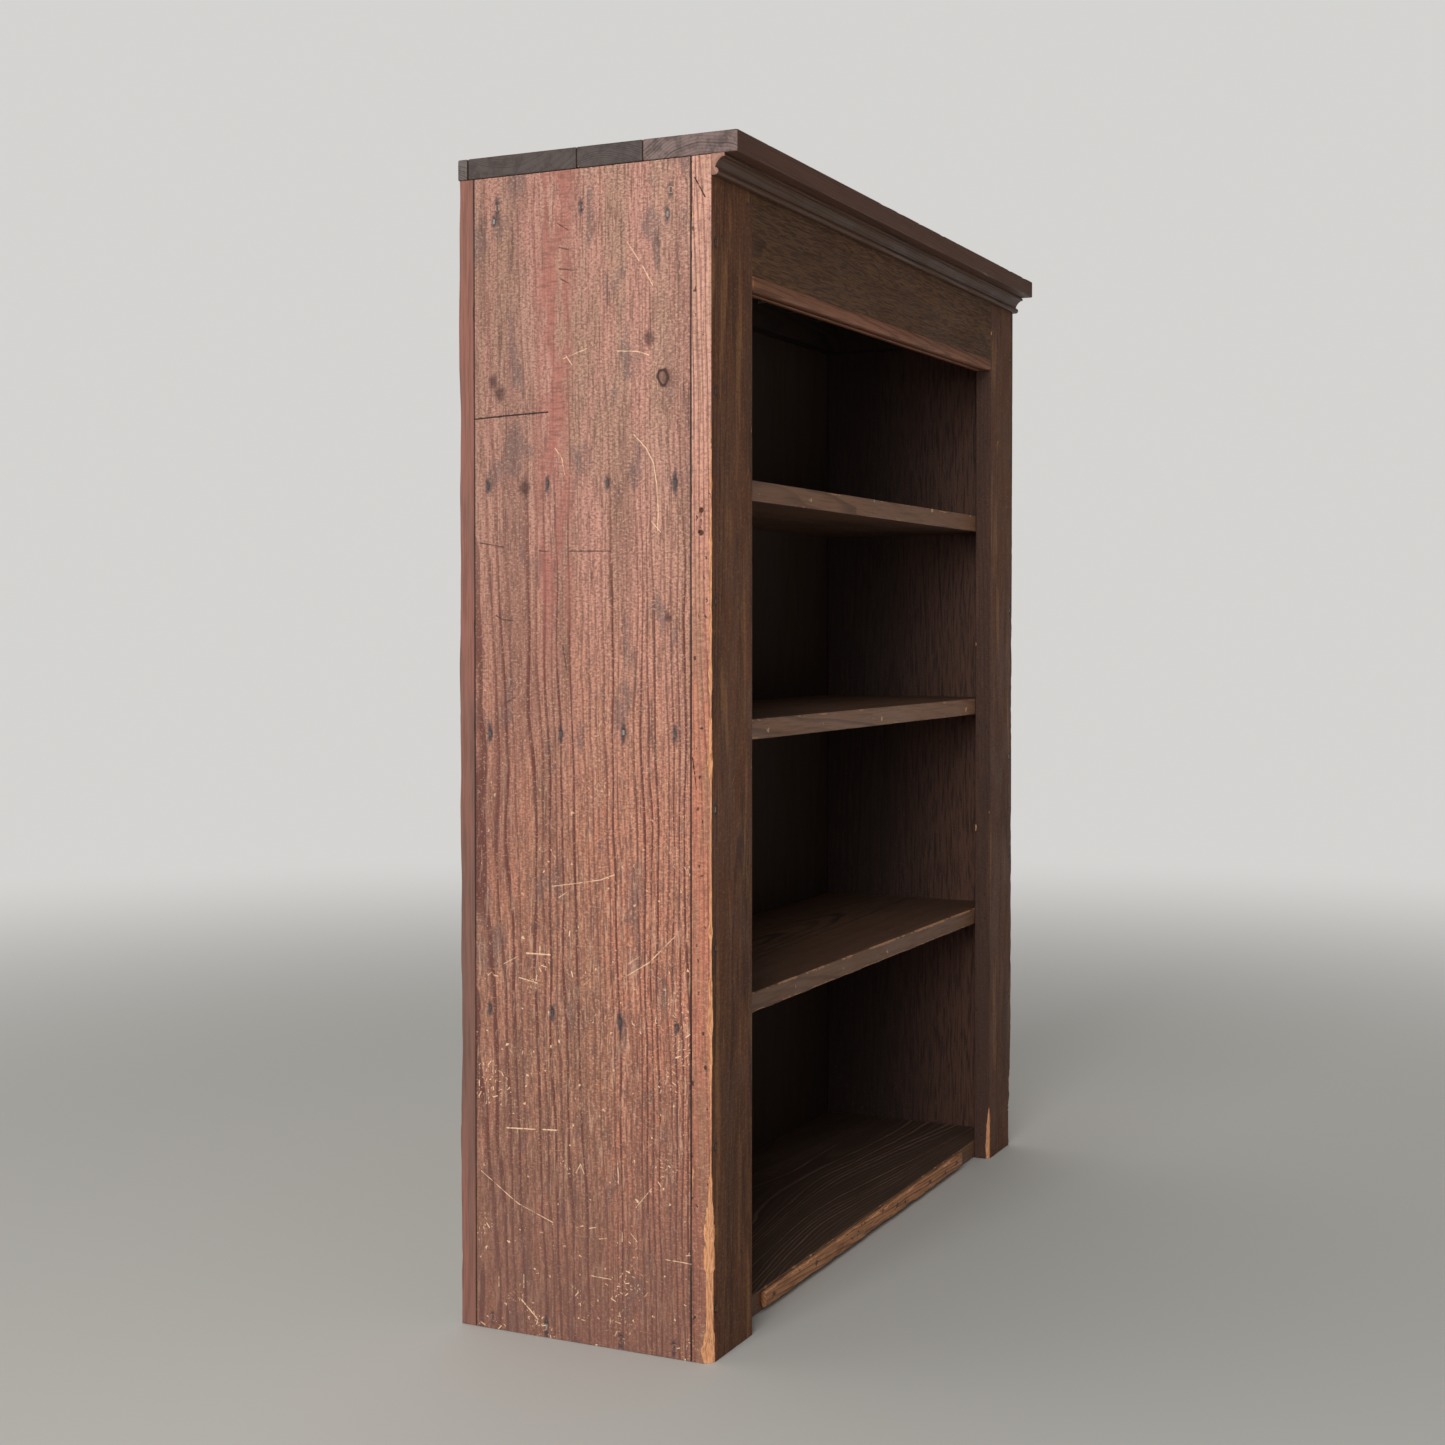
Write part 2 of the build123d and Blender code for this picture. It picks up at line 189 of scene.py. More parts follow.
def nail_heads(node, axis, side):
    """The middles of a nail group's heads, on the face that lies furthest along an axis."""
    corners = [vert.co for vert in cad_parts[node].data.vertices]
    surface = max(side * corner[axis] for corner in corners)
    clusters = []
    for corner in corners:
        if side * corner[axis] < surface - 2e-5:
            continue
        near = [cluster for cluster in clusters if (cluster[0] - corner).length < 0.01]
        if near:
            near[0].append(corner.copy())
        else:
            clusters.append([corner.copy()])
    return [sum(cluster, Vector()) / len(cluster) for cluster in clusters]


def dent_round_nails(bm, heads, axis, side, depth=0.0011, radius=0.0052):
    """Refines a face round each nail and sinks it, so that the nail's head shows."""
    for _ in range(2):
        close = [
            face for face in bm.faces
            if side * face.normal[axis] > 0.9
            and any((face.calc_center_median() - head).length < radius * 1.7 for head in heads)
        ]
        edges = {edge for face in close for edge in face.edges}
        bmesh.ops.subdivide_edges(bm, edges=list(edges), cuts=1, use_grid_fill=True)
    for vert in bm.verts:
        for head in heads:
            away = vert.co - head
            if abs(away[axis]) > 0.003:
                continue
            away[axis] = 0
            if away.length < radius:
                share = 1 - (away.length / radius) ** 2
                vert.co[axis] -= side * depth * min(1, 2.4 * share)


def distance_to(line, point):
    """How far a point is from a straight line between two points."""
    start, end = line
    run = end - start
    share = max(0.0, min(1.0, (point - start).dot(run) / run.length_squared))
    return (point - start - run * share).length


def carve(bm, lines, width, depth, axis, side, layer_name):
    """Cuts fine grooves along lines on a face: the mesh is refined beside them, the groove's
    points sink and are painted, and a groove comes and goes along its length."""
    layer = paint(bm, layer_name)
    for reach in (0.0046, 0.0024, 0.0014):
        edges = set()
        for face in bm.faces:
            if side * face.normal[axis] <= 0.9:
                continue
            middle = face.calc_center_median()
            if any(distance_to(line, middle) < reach for line in lines):
                edges.update(face.edges)
        bmesh.ops.subdivide_edges(bm, edges=list(edges), cuts=1, use_grid_fill=True)
    for vert in bm.verts:
        away = min(distance_to(line, vert.co) for line in lines)
        if away < width:
            force = 0.75 + 0.6 * noise.noise(vert.co * 190) + 0.4 * noise.noise(vert.co * 520)
            share = max(0.0, min(1.0, 1.3 - away / (width * 0.6))) * max(0.0, min(1.0, force))
            vert[layer] = max(vert[layer], share)
            vert.co[axis] -= side * depth * share


def stain_round_nails(bm, heads, grain, length, width):
    """Paints the iron stain that has bled along the grain from each nail."""
    layer = paint(bm, "iron_stain")
    along = "XYZ".index(grain)
    for head in heads:
        reach = length * (0.6 + 1.2 * abs(noise.noise(head * 57)))
        for vert in bm.verts:
            away = vert.co - head
            if abs(away[along]) > reach:
                continue
            run = away[along] / reach
            away[along] = 0
            share = 1 - math.hypot(run, away.length / width)
            if share > 0:
                vert[layer] = max(vert[layer], share)


class Finish:
    """A board's colour, relief and gloss, laid on in layers in one tree of nodes."""

    def __init__(self, name, low, high, grain="Z", seed=1.0):
        self.material = bpy.data.materials.new(name)
        self.material.use_nodes = True
        self.tree = self.material.node_tree
        self.tree.nodes.clear()
        self.here = self.node("TexCoord").outputs["Object"]
        turn = (0, math.pi / 2, 0) if grain == "X" else (0, 0, 0)
        values = {"Vector": self.here, "Location": (low + high) / 2, "Rotation": turn}
        self.place = self.node("Mapping", values, vector_type="TEXTURE").outputs[0]
        self.field = self.vector("ADD", self.place, Vector((1.7, 3.1, 5.3)) * seed)
        split = self.node("SeparateXYZ", {0: self.here})
        self.x, self.y, self.z = split.outputs
        self.layers = 0
        self.height = 0.0

    def node(self, kind, values=None, **settings):
        """A node with its settings, and each named input linked or set."""
        made = self.tree.nodes.new("ShaderNode" + kind)
        for key, value in settings.items():
            setattr(made, key, value)
        for key, value in (values or {}).items():
            socket = made.inputs[key]
            if isinstance(value, bpy.types.NodeSocket):
                self.tree.links.new(value, socket)
            elif socket.type == "RGBA":
                socket.default_value = (*value[:3], 1)
            else:
                socket.default_value = value
        return made

    def calc(self, operation, *terms, clamp=False):
        made = self.node("Math", dict(enumerate(terms)), operation=operation, use_clamp=clamp)
        return made.outputs[0]

    def times(self, *terms):
        product = terms[0]
        for term in terms[1:]:
            product = self.calc("MULTIPLY", product, term)
        return product

    def vector(self, operation, *terms):
        made = self.node("VectorMath", dict(enumerate(terms)), operation=operation)
        return made.outputs["Value" if operation in ("LENGTH", "DOT_PRODUCT") else "Vector"]

    def scaled(self, vector, amount):
        return self.node("VectorMath", {0: vector, "Scale": amount}, operation="SCALE").outputs[0]

    def gap(self, value, place):
        """How far a value is from a place, either way."""
        return self.calc("ABSOLUTE", self.calc("SUBTRACT", value, place))

    def ease(self, value, low, high, to_low=0.0, to_high=1.0):
        """A smooth step between two values, upwards or downwards."""
        values = {0: value, 1: low, 2: high, 3: to_low, 4: to_high}
        return self.node("MapRange", values, interpolation_type="SMOOTHSTEP").outputs[0]

    def mix(self, share, under, over):
        values = {0: share, 6: under, 7: over}
        return self.node("Mix", values, data_type="RGBA").outputs[2]

    def lay(self, share, colour, amount=1.0):
        """Lays a colour on by a share."""
        self.colour = self.mix(self.times(share, amount), self.colour, colour)

    def emboss(self, layer, amount):
        """Raises the surface by a layer, in millimetres."""
        self.height = self.calc("MULTIPLY_ADD", layer, amount, self.height)

    def stretched(self, scale, stretch, across=1.0):
        """A fresh place in the board's pattern, drawn out along the grain or across it."""
        self.layers += 1
        squeeze = Vector((scale / across, scale / across, scale / stretch))
        where = self.vector("MULTIPLY", self.field, squeeze)
        return self.vector("ADD", where, Vector((7.3, 2.9, 11.7)) * self.layers)

    def noise(self, scale, stretch=1.0, detail=2.0, rough=0.5, output=0, twist=0.0, across=1.0):
        values = {
            "Vector": self.stretched(scale, stretch, across), "Scale": 1.0,
            "Detail": detail, "Roughness": rough, "Distortion": twist,
        }
        return self.node("TexNoise", values).outputs[output]

    def drift(self, scale, stretch, reach):
        """A wandering of places, up to about a reach each way."""
        wander = self.noise(scale, stretch, 1.0, output=1)
        return self.scaled(self.vector("SUBTRACT", wander, (0.5, 0.5, 0.5)), 2 * reach)

    def rings(self, pith, width, early, late, strength=1.0, wander=0.012, taper=0.02, knots=()):
        """Growth rings round a pith beside the board: pale early wood, thin dark late wood.
        Knots are (place, radius), and the rings swell round them."""
        where = self.vector("ADD", self.place, self.drift(4.0, 6.0, wander))
        where = self.vector("ADD", where, self.drift(40.0, 6.0, width * 0.7))
        away = self.vector("SUBTRACT", where, (*pith, 0))
        radius = self.vector("LENGTH", self.vector("MULTIPLY", away, (1, 1, 0)))
        rise = self.node("SeparateXYZ", {0: where}).outputs[2]
        radius = self.calc("ADD", radius, self.times(rise, taper))
        for place, size in knots:
            reach = self.vector("SUBTRACT", self.here, place)
            reach = self.vector("LENGTH", self.vector("MULTIPLY", reach, (1, 1, 0.5)))
            push = self.ease(reach, size * 3.4, size * 0.3, 0.0, width * 2.4)
            radius = self.calc("ADD", radius, push)
        turns = self.calc("DIVIDE", radius, width)
        turns = self.calc("ADD", turns, self.times(self.noise(22.0, 8.0, 1.0), 1.6))
        phase = self.calc("FRACT", turns)
        year = self.node("TexWhiteNoise", {"W": self.calc("FLOOR", turns)}, noise_dimensions="1D")
        good_year = self.ease(year.outputs["Value"], 0.0, 1.0, 0.30, 1.5)
        self.late = self.times(self.ease(phase, 0.48, 0.84), self.ease(phase, 1.0, 0.95), good_year)
        self.colour = self.mix(self.times(self.late, strength), early, late)
        self.emboss(self.late, 0.12)

    def fibres(self, scale, stretch, colour, amount, height=0.05, low=0.48, high=0.66, share=None):
        """Fine streaks along the grain."""
        streak = self.noise(scale, stretch, 3.0, 0.62)
        shown = self.ease(streak, low, high)
        if share is not None:
            shown = self.times(shown, share)
        self.lay(shown, colour, amount)
        self.emboss(streak, height)

    def cloud(self, scale, stretch, colour, amount, low=0.45, high=0.7, detail=3.0, rough=0.55):
        """Patches of another colour."""
        self.lay(self.ease(self.noise(scale, stretch, detail, rough), low, high), colour, amount)

    def painted(self, name):
        """What the mesh has been painted with under a name."""
        return self.node("Attribute", attribute_name=name).outputs["Fac"]

    def bare_wood(self, wood, dark, low=0.80, high=0.96):
        """Bare wood where the mesh is painted raw, with ragged limits."""
        ragged = self.times(self.noise(240.0, 2.5, 4.0, 0.7), 0.8)
        bare = self.ease(self.calc("ADD", self.painted("raw"), ragged), low, high)
        grain = self.ease(self.noise(620.0, 9.0, 3.0, 0.6), 0.38, 0.68)
        self.lay(bare, self.mix(grain, wood, dark))
        self.emboss(bare, -0.2)

    def specks(self, scale, colour, amount, size=0.3, stretch=1.4, share=None):
        """Small knocks of another colour, in some cells only."""
        wobble = self.scaled(self.noise(scale * 2.4, 1.0, 2.0, output=1), 0.7)
        at = self.vector("ADD", self.stretched(scale, stretch), wobble)
        cells = self.node("TexVoronoi", {"Vector": at, "Scale": 1.0})
        chosen = self.node("SeparateColor", {0: cells.outputs["Color"]}).outputs[0]
        reach = self.ease(chosen, 0.6, 1.0, 0.0, size)
        spot = self.ease(self.calc("SUBTRACT", reach, cells.outputs["Distance"]), 0.0, 0.05)
        if share is not None:
            spot = self.times(spot, share)
        self.lay(spot, colour, amount)
        self.emboss(spot, -0.1)

    def hairlines(self, scale, colour, amount, share=None, fine=0.005):
        """Fine curved scratches that come and go."""
        line = self.gap(self.noise(scale, 1.4, 1.0, 0.4, twist=0.6), 0.5)
        line = self.ease(line, fine, 0.0)
        line = self.times(line, self.ease(self.noise(scale * 2.1, 1.0, 3.0, 0.6), 0.55, 0.66))
        if share is not None:
            line = self.times(line, share)
        self.lay(line, colour, amount)
        self.emboss(line, -0.1)

    def crackle(self, scale, dark, light, amount, share=1.0):
        """Fine checks across the grain in the old finish, and the paler scales between them."""
        checks = self.noise(scale, 1.0, 2.0, 0.7, across=1.7)
        self.lay(self.times(self.ease(checks, 0.50, 0.62), share), dark, amount)
        self.lay(self.times(self.ease(checks, 0.45, 0.33), share), light, amount * 0.6)
        self.emboss(checks, -0.5)

    def strokes(self, scale, colour, amount, length, width, share):
        """Short straight scratches, one to a cell at most, each at its own slant."""
        at = self.stretched(scale, 1.0)
        cells = self.node("TexVoronoi", {"Vector": at, "Scale": 1.0})
        luck = self.node("SeparateColor", {0: cells.outputs["Color"]})
        reach = self.vector("SUBTRACT", at, cells.outputs["Position"])
        turn = self.times(luck.outputs[1], math.tau)
        values = {"Vector": reach, "Angle": turn}
        reach = self.node("VectorRotate", values, rotation_type="X_AXIS").outputs[0]
        reach = self.node("SeparateXYZ", {0: self.vector("ABSOLUTE", reach)})
        long = self.ease(luck.outputs[2], 0.0, 1.0, 0.3 * length, length)
        inside = self.ease(self.calc("SUBTRACT", long, reach.outputs[1]), 0.0, 0.06)
        stroke = self.times(self.ease(reach.outputs[2], width, width * 0.3), inside, share)
        self.lay(self.times(stroke, self.ease(luck.outputs[0], 0.35, 0.5)), colour, amount)
        self.emboss(stroke, -0.1)

    def iron_stain(self, colour, amount=0.85):
        """The blue-black bleed painted round the nails."""
        ragged = self.calc("ADD", self.times(self.noise(120.0, 6.0, 3.0, 0.6), 0.9), 0.75)
        share = self.times(self.painted("iron_stain"), ragged)
        self.lay(self.ease(share, 0.2, 0.95), colour, amount)

    def knot(self, place, size, colour, ringed):
        """A knot: a smudge of dark wood, with a crack round it where it is a ringed one."""
        away = self.vector("SUBTRACT", self.here, place)
        away = self.vector("ADD", away, self.drift(110.0, 1.0, size * 0.5))
        reach = self.vector("LENGTH", self.vector("MULTIPLY", away, (1, 1, 0.7)))
        self.lay(self.ease(reach, size * 1.5, size * 0.4), colour, 0.45 if ringed else 0.7)
        if ringed:
            rim = self.ease(self.gap(reach, size), size * 0.42, size * 0.1)
            self.lay(rim, colour, 0.95)
            self.emboss(rim, -0.2)

    def close(self, roughness=0.6, spread=0.08, specular=0.35, strength=1.0):
        """Ends the tree in a surface, with all its relief as one bump."""
        values = {"Height": self.height, "Distance": 0.001, "Strength": strength}
        patchy = self.noise(26.0, 3.0, 3.0, 0.6)
        surface = self.node("BsdfPrincipled", {
            "Base Color": self.colour,
            "Roughness": self.ease(patchy, 0.3, 0.7, roughness - spread, roughness + spread),
            "Normal": self.node("Bump", values).outputs[0],
            "Specular IOR Level": specular,
        })
        self.node("OutputMaterial", {"Surface": surface.outputs[0]})
        return self.material


def show(name, bm, material, slot, *nodes):
    """Makes a piece of a mesh, to stand for CAD nodes, and hands it to the frame."""
    for face in bm.faces:
        face.smooth = True
    mesh = bpy.data.meshes.new(name)
    bm.to_mesh(mesh)
    bm.free()
    mesh.materials.append(material)
    piece = bpy.data.objects.new(name, mesh)
    bpy.context.scene.collection.objects.link(piece)
    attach(piece, "root")
    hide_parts(*nodes)
    return piece


# Faded brown-pink above, redder below, with dark red late wood, and streaks and smudges of
# olive, pink, grey-blue and near-black.
FADED, REDDENED, LATE_RED = (0.53, 0.286, 0.218), (0.55, 0.222, 0.136), (0.125, 0.022, 0.016)
OLIVE, PINK, GREY_BLUE = (0.29, 0.175, 0.105), (0.58, 0.270, 0.215), (0.150, 0.110, 0.108)
FIBRE_BROWN, PALE_FIBRE = (0.135, 0.062, 0.045), (0.80, 0.52, 0.36)
BROWN_SHADE, CHECK_BROWN = (0.17, 0.082, 0.064), (0.150, 0.072, 0.056)
SMEAR_RED, PIT_BLACK = (0.40, 0.135, 0.105), (0.04, 0.022, 0.020)
# The inside colours are painted shade: near-black for the side boards' inner faces, darker towards
# the back.
INSIDE_SHADE_FRONT, INSIDE_SHADE_BACK = (0.115, 0.050, 0.033), (0.018, 0.010, 0.008)
INSIDE_SHADE_STREAK, KNOT_BROWN = (0.022, 0.011, 0.008), (0.045, 0.016, 0.013)
SCRATCH_TAN = (0.95, 0.66, 0.42)
RAW_TAN, RAW_DARK = (0.86, 0.43, 0.22), (0.48, 0.20, 0.095)
IRON_BLACK, CRACK_BLACK = (0.030, 0.030, 0.038), (0.012, 0.006, 0.005)

STILE_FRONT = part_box("left_front_stile")[0].y
left_low, left_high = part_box("left_side_board")
right_low, right_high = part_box("right_side_board")


def on_left(back, height):
    """A point on the left side's outer face, from millimetres behind the front and up."""
    return Vector((left_low.x, STILE_FRONT + back / 1000, height / 1000))


def lines_on_left(*routes):
    """Straight lines along routes of (back, height) points."""
    return [
        (on_left(*start), on_left(*end))
        for route in routes
        for start, end in zip(route, route[1:])
    ]


# (place, radius, ringed)
LEFT_KNOTS = [
    (on_left(80, 1184), 0.0062, False), (on_left(62, 1138), 0.0062, True),
    (on_left(247, 1017), 0.0075, False), (on_left(55, 861), 0.004, False),
    (on_left(290, 1145), 0.006, False), (on_left(281, 1130), 0.007, False),
]
LIGHT_SCRATCHES = lines_on_left(
    [(210, 542), (178, 547), (144, 553), (126, 560)],
    [(277, 445), (256, 456)],
    [(108, 456), (93, 466)],
    [(113, 440), (80, 460), (42, 497)],
    [(256, 430), (231, 425)],
    [(173, 422), (159, 435)],
    [(201, 529), (190, 536)],
    [(178, 203), (172, 214), (167, 203)],
    [(310, 191), (258, 157), (210, 140)],
    [(178, 138), (168, 141)],
    [(160, 139), (152, 141)],
    [(147, 128), (136, 130)],
    [(116, 140), (116, 129)],
    [(105, 140), (96, 131)],
    [(285, 65), (285, 53)],
    [(250, 72), (250, 56)],
    [(122, 221), (121, 196)],
    [(160, 83), (131, 82)],
    [(60, 115), (26, 114)],
    [(98, 171), (77, 196)],
    [(194, 1167), (162, 1177)],
    [(122, 1172), (95, 1170), (80, 1165)],
    [(88, 1268), (75, 1245)],
    [(100, 1074), (84, 1058), (74, 1040), (70, 1015), (68, 985), (69, 960)],
    [(205, 1062), (196, 1050), (192, 1030)],
    [(190, 1170), (182, 1159)],
    [(108, 1297), (93, 1275)],
    [(77, 973), (65, 960)],
)
PALE_SCRATCHES = lines_on_left(
    [(246, 460), (213, 460)],
    [(227, 469), (227, 461)],
    [(273, 247), (234, 249)],
    [(223, 250), (205, 251)],
    [(253, 41), (227, 17)],
    [(184, 442), (182, 436)],
    [(186, 490), (187, 484)],
)
CRACKS = lines_on_left([(334, 1100), (277, 1103), (215, 1105)])
FINE_CRACKS = lines_on_left(
    [(199, 1298), (187, 1295)],
    [(199, 1273), (180, 1270)],
    [(197, 1261), (186, 1255)],
    [(202, 1327), (186, 1317)],
    [(227, 941), (214, 940)],
    [(189, 940), (131, 939)],
    [(287, 864), (277, 859), (264, 858)],
    [(276, 758), (261, 766)],
    [(195, 829), (190, 799)],
    [(310, 952), (275, 946)],
)


def side_finish(name, low, high, outer, seed, knots, pith):
    """The outside of a side board, darkened towards the rear as painted shade, and its inside laid
    near-black as painted shade.
    """
    wood = Finish(name, low, high, seed=seed)
    upper = wood.ease(wood.z, 0.50, 1.15)
    lower = wood.ease(wood.z, 0.95, 0.40)
    wood.colour = wood.mix(upper, REDDENED, FADED)
    wood.cloud(9.0, 4.0, OLIVE, 0.42, 0.42, 0.62)
    wood.lay(wood.times(wood.ease(wood.noise(34.0, 9.0, 3.0), 0.46, 0.60), upper), PINK, 0.6)
    wood.cloud(20.0, 7.0, FIBRE_BROWN, 0.40, 0.50, 0.66)
    wood.cloud(26.0, 2.5, GREY_BLUE, 0.62, 0.56, 0.67)
    wood.rings(
        pith, 0.0078, wood.colour, LATE_RED,
        strength=wood.ease(wood.z, 1.20, 0.62, 0.22, 1.0),
        knots=[(place, size) for place, size, ringed in knots if ringed],
    )
    wood.fibres(430.0, 22.0, FIBRE_BROWN, 0.58, 0.06, 0.49, 0.64)
    wood.fibres(150.0, 14.0, PIT_BLACK, 0.55, 0.12, 0.60, 0.70)
    wood.crackle(400.0, CHECK_BROWN, PALE_FIBRE, 0.62)
    wood.fibres(210.0, 6.0, FIBRE_BROWN, 0.5, 0.05, 0.57, 0.68)
    wood.fibres(260.0, 9.0, PALE_FIBRE, 0.34, 0.05, 0.55, 0.66, lower)
    wood.fibres(300.0, 4.0, CHECK_BROWN, 0.6, 0.06, 0.52, 0.61, lower)
    wood.lay(wood.ease(wood.z, 0.34, 0.04), BROWN_SHADE, 0.55)
    # Painted shade: the outer face is laid darker towards the rear, where less light reaches it.
    wood.lay(wood.ease(wood.y, -0.08, 0.19), BROWN_SHADE, 0.24)
    for place, size, ringed in knots:
        wood.knot(place, size, KNOT_BROWN, ringed)
    wood.specks(110.0, PIT_BLACK, 0.8, 0.15, 1.6)
    clusters = wood.ease(wood.noise(13.0, 1.0, 3.0, 0.65), 0.56, 0.64)
    wood.strokes(75.0, SCRATCH_TAN, 0.95, 0.32, 0.065, wood.times(lower, clusters))
    wood.strokes(150.0, SCRATCH_TAN, 0.7, 0.34, 0.11, wood.times(lower, clusters))
    wood.specks(90.0, SCRATCH_TAN, 0.8, 0.15, 1.0, lower)
    wood.iron_stain(IRON_BLACK)
    middle, half = (low.y + high.y) / 2, (high.y - low.y) / 2
    joint = wood.ease(wood.gap(wood.y, middle), half - 0.0022, half - 0.0012)
    wood.lay(joint, CRACK_BLACK, 0.9)
    # Painted shade: the inner face is laid near-black, darker still towards the back, with dark
    # streaks kept to the same shade.
    inside = wood.ease(wood.gap(wood.x, outer), 0.002, 0.004)
    wood.lay(inside, wood.mix(wood.ease(wood.y, -0.12, 0.10), INSIDE_SHADE_FRONT, INSIDE_SHADE_BACK), 0.94)
    wood.fibres(320.0, 14.0, INSIDE_SHADE_STREAK, 0.75, 0.1, 0.44, 0.66, inside)
    return wood


left_heads = nail_heads("left_side_nails", 0, -1)
bm = housed_plank(left_low, left_high, left_low.x)
weather(bm, left_low, left_high, "Z", 0.0004, 1.0)
dent_round_nails(bm, left_heads, 0, -1)
stain_round_nails(bm, left_heads, "Z", 0.024, 0.0062)
carve(bm, LIGHT_SCRATCHES, 0.0009, 0.0002, 0, -1, "scratch")
carve(bm, PALE_SCRATCHES, 0.0014, 0.0003, 0, -1, "scratch")
carve(bm, CRACKS, 0.0014, 0.0008, 0, -1, "crack")
carve(bm, FINE_CRACKS, 0.0015, 0.0004, 0, -1, "fine_crack")

left_wood = side_finish(
    "left_side_wood", left_low, left_high, left_low.x, 1.0, LEFT_KNOTS, (0.050, 0.145))
# A band where red stain has stayed, with the marks of the saw showing across it.
smear = left_wood.calc("MULTIPLY_ADD", left_wood.noise(3.0, 2.0, 1.0), 0.07, STILE_FRONT + 0.168)
smear = left_wood.times(
    left_wood.ease(left_wood.gap(left_wood.y, smear), 0.032, 0.010),
    left_wood.ease(left_wood.z, 0.74, 0.92),
    left_wood.ease(left_wood.noise(60.0, 5.0, 3.0, 0.65), 0.38, 0.56),
)
left_wood.lay(smear, SMEAR_RED, 0.62)
saw_marks = left_wood.noise(330.0, 1.0, 2.0, 0.5, across=7.0)
left_wood.lay(left_wood.times(smear, left_wood.ease(saw_marks, 0.50, 0.62)), FIBRE_BROWN, 0.45)
left_wood.emboss(left_wood.times(smear, saw_marks), 0.35)
left_wood.lay(left_wood.ease(left_wood.painted("scratch"), 0.1, 0.6), SCRATCH_TAN, 0.9)
left_wood.lay(left_wood.ease(left_wood.painted("crack"), 0.05, 0.35), CRACK_BLACK, 0.95)
left_wood.lay(left_wood.ease(left_wood.painted("fine_crack"), 0.08, 0.5), PIT_BLACK, 0.7)
show("left_side_plank", bm, left_wood.close(0.62), "side_boards", "left_side_board")


# ------------------------------------------------------------------------------------------
# Right side board: the left one's pair, cut from the same stock and finished the same way.

right_heads = nail_heads("right_side_nails", 0, 1)
bm = housed_plank(right_low, right_high, right_high.x)
weather(bm, right_low, right_high, "Z", 0.0004, 2.0)
dent_round_nails(bm, right_heads, 0, 1)
stain_round_nails(bm, right_heads, "Z", 0.024, 0.0062)
right_knots = [
    (Vector((right_high.x, 0.03, 0.62)), 0.006, True),
    (Vector((right_high.x, -0.06, 1.08)), 0.005, False),
]
right_wood = side_finish(
    "right_side_wood", right_low, right_high, right_high.x, 4.0, right_knots, (-0.09, 0.02))
show("right_side_plank", bm, right_wood.close(0.62), "side_boards", "right_side_board")


# ------------------------------------------------------------------------------------------
# Front stiles: full-height boards nailed over the sides' front edges. Their faces carry the
# old dark varnish; the left one's outer arris is worn to bare wood, most at its foot.

DARK_BROWN, DARKER_BROWN = (0.175, 0.067, 0.032), (0.085, 0.033, 0.018)
GOLDEN_FLECK, VARNISH_BLACK = (0.40, 0.185, 0.065), (0.045, 0.022, 0.016)
INNER_SHADE_BROWN = (0.060, 0.036, 0.032)
EDGE_REDDENED, EDGE_FADED = (0.56, 0.215, 0.135), (0.68, 0.365, 0.28)
FINE_LOOPS = [0.0010, 0.0018, 0.0028, 0.0040, 0.0055, 0.0075]


def worn_depth(height, seed, foot, reach, middle):
    """How much of an arris is gone at a height: most at the foot, knobbly all the way up."""
    spot = Vector((seed, 0, height))
    knobs = noise.noise(spot * 9) + 0.7 * noise.noise(spot * 31) + 0.4 * noise.noise(spot * 83)
    at_foot = max(0.0, 1 - height / reach) ** 0.6
    along = min(1.0, max(0.0, (1.15 - height) / 0.3))
    chips = max(0.0, knobs + 0.12)
    return middle * (0.25 + along * (0.35 + 1.3 * chips)) + foot * at_foot * (0.8 + 0.35 * knobs)


def wear_corner(bm, corner, inward, seed, foot, reach, middle):
    """Wears an upright arris back to a knobbly facet, painted as bare wood."""
    raw = paint(bm, "raw")
    for vert in bm.verts:
        u = (vert.co.x - corner.x) * inward.x
        v = (vert.co.y - corner.y) * inward.y
        if u > 0.012 or v > 0.012:
            continue
        gone = worn_depth(vert.co.z, seed, foot, reach, middle) - u - v
        if gone > 0:
            vert.co.x += inward.x * gone / 2
            vert.co.y += inward.y * gone / 2
        bare = min(1.0, max(0.0, 0.55 + gone / 0.0014))
        if gone > -0.0012:
            vert[raw] = max(vert[raw], bare * min(1.0, (gone + 0.0012) / 0.002))


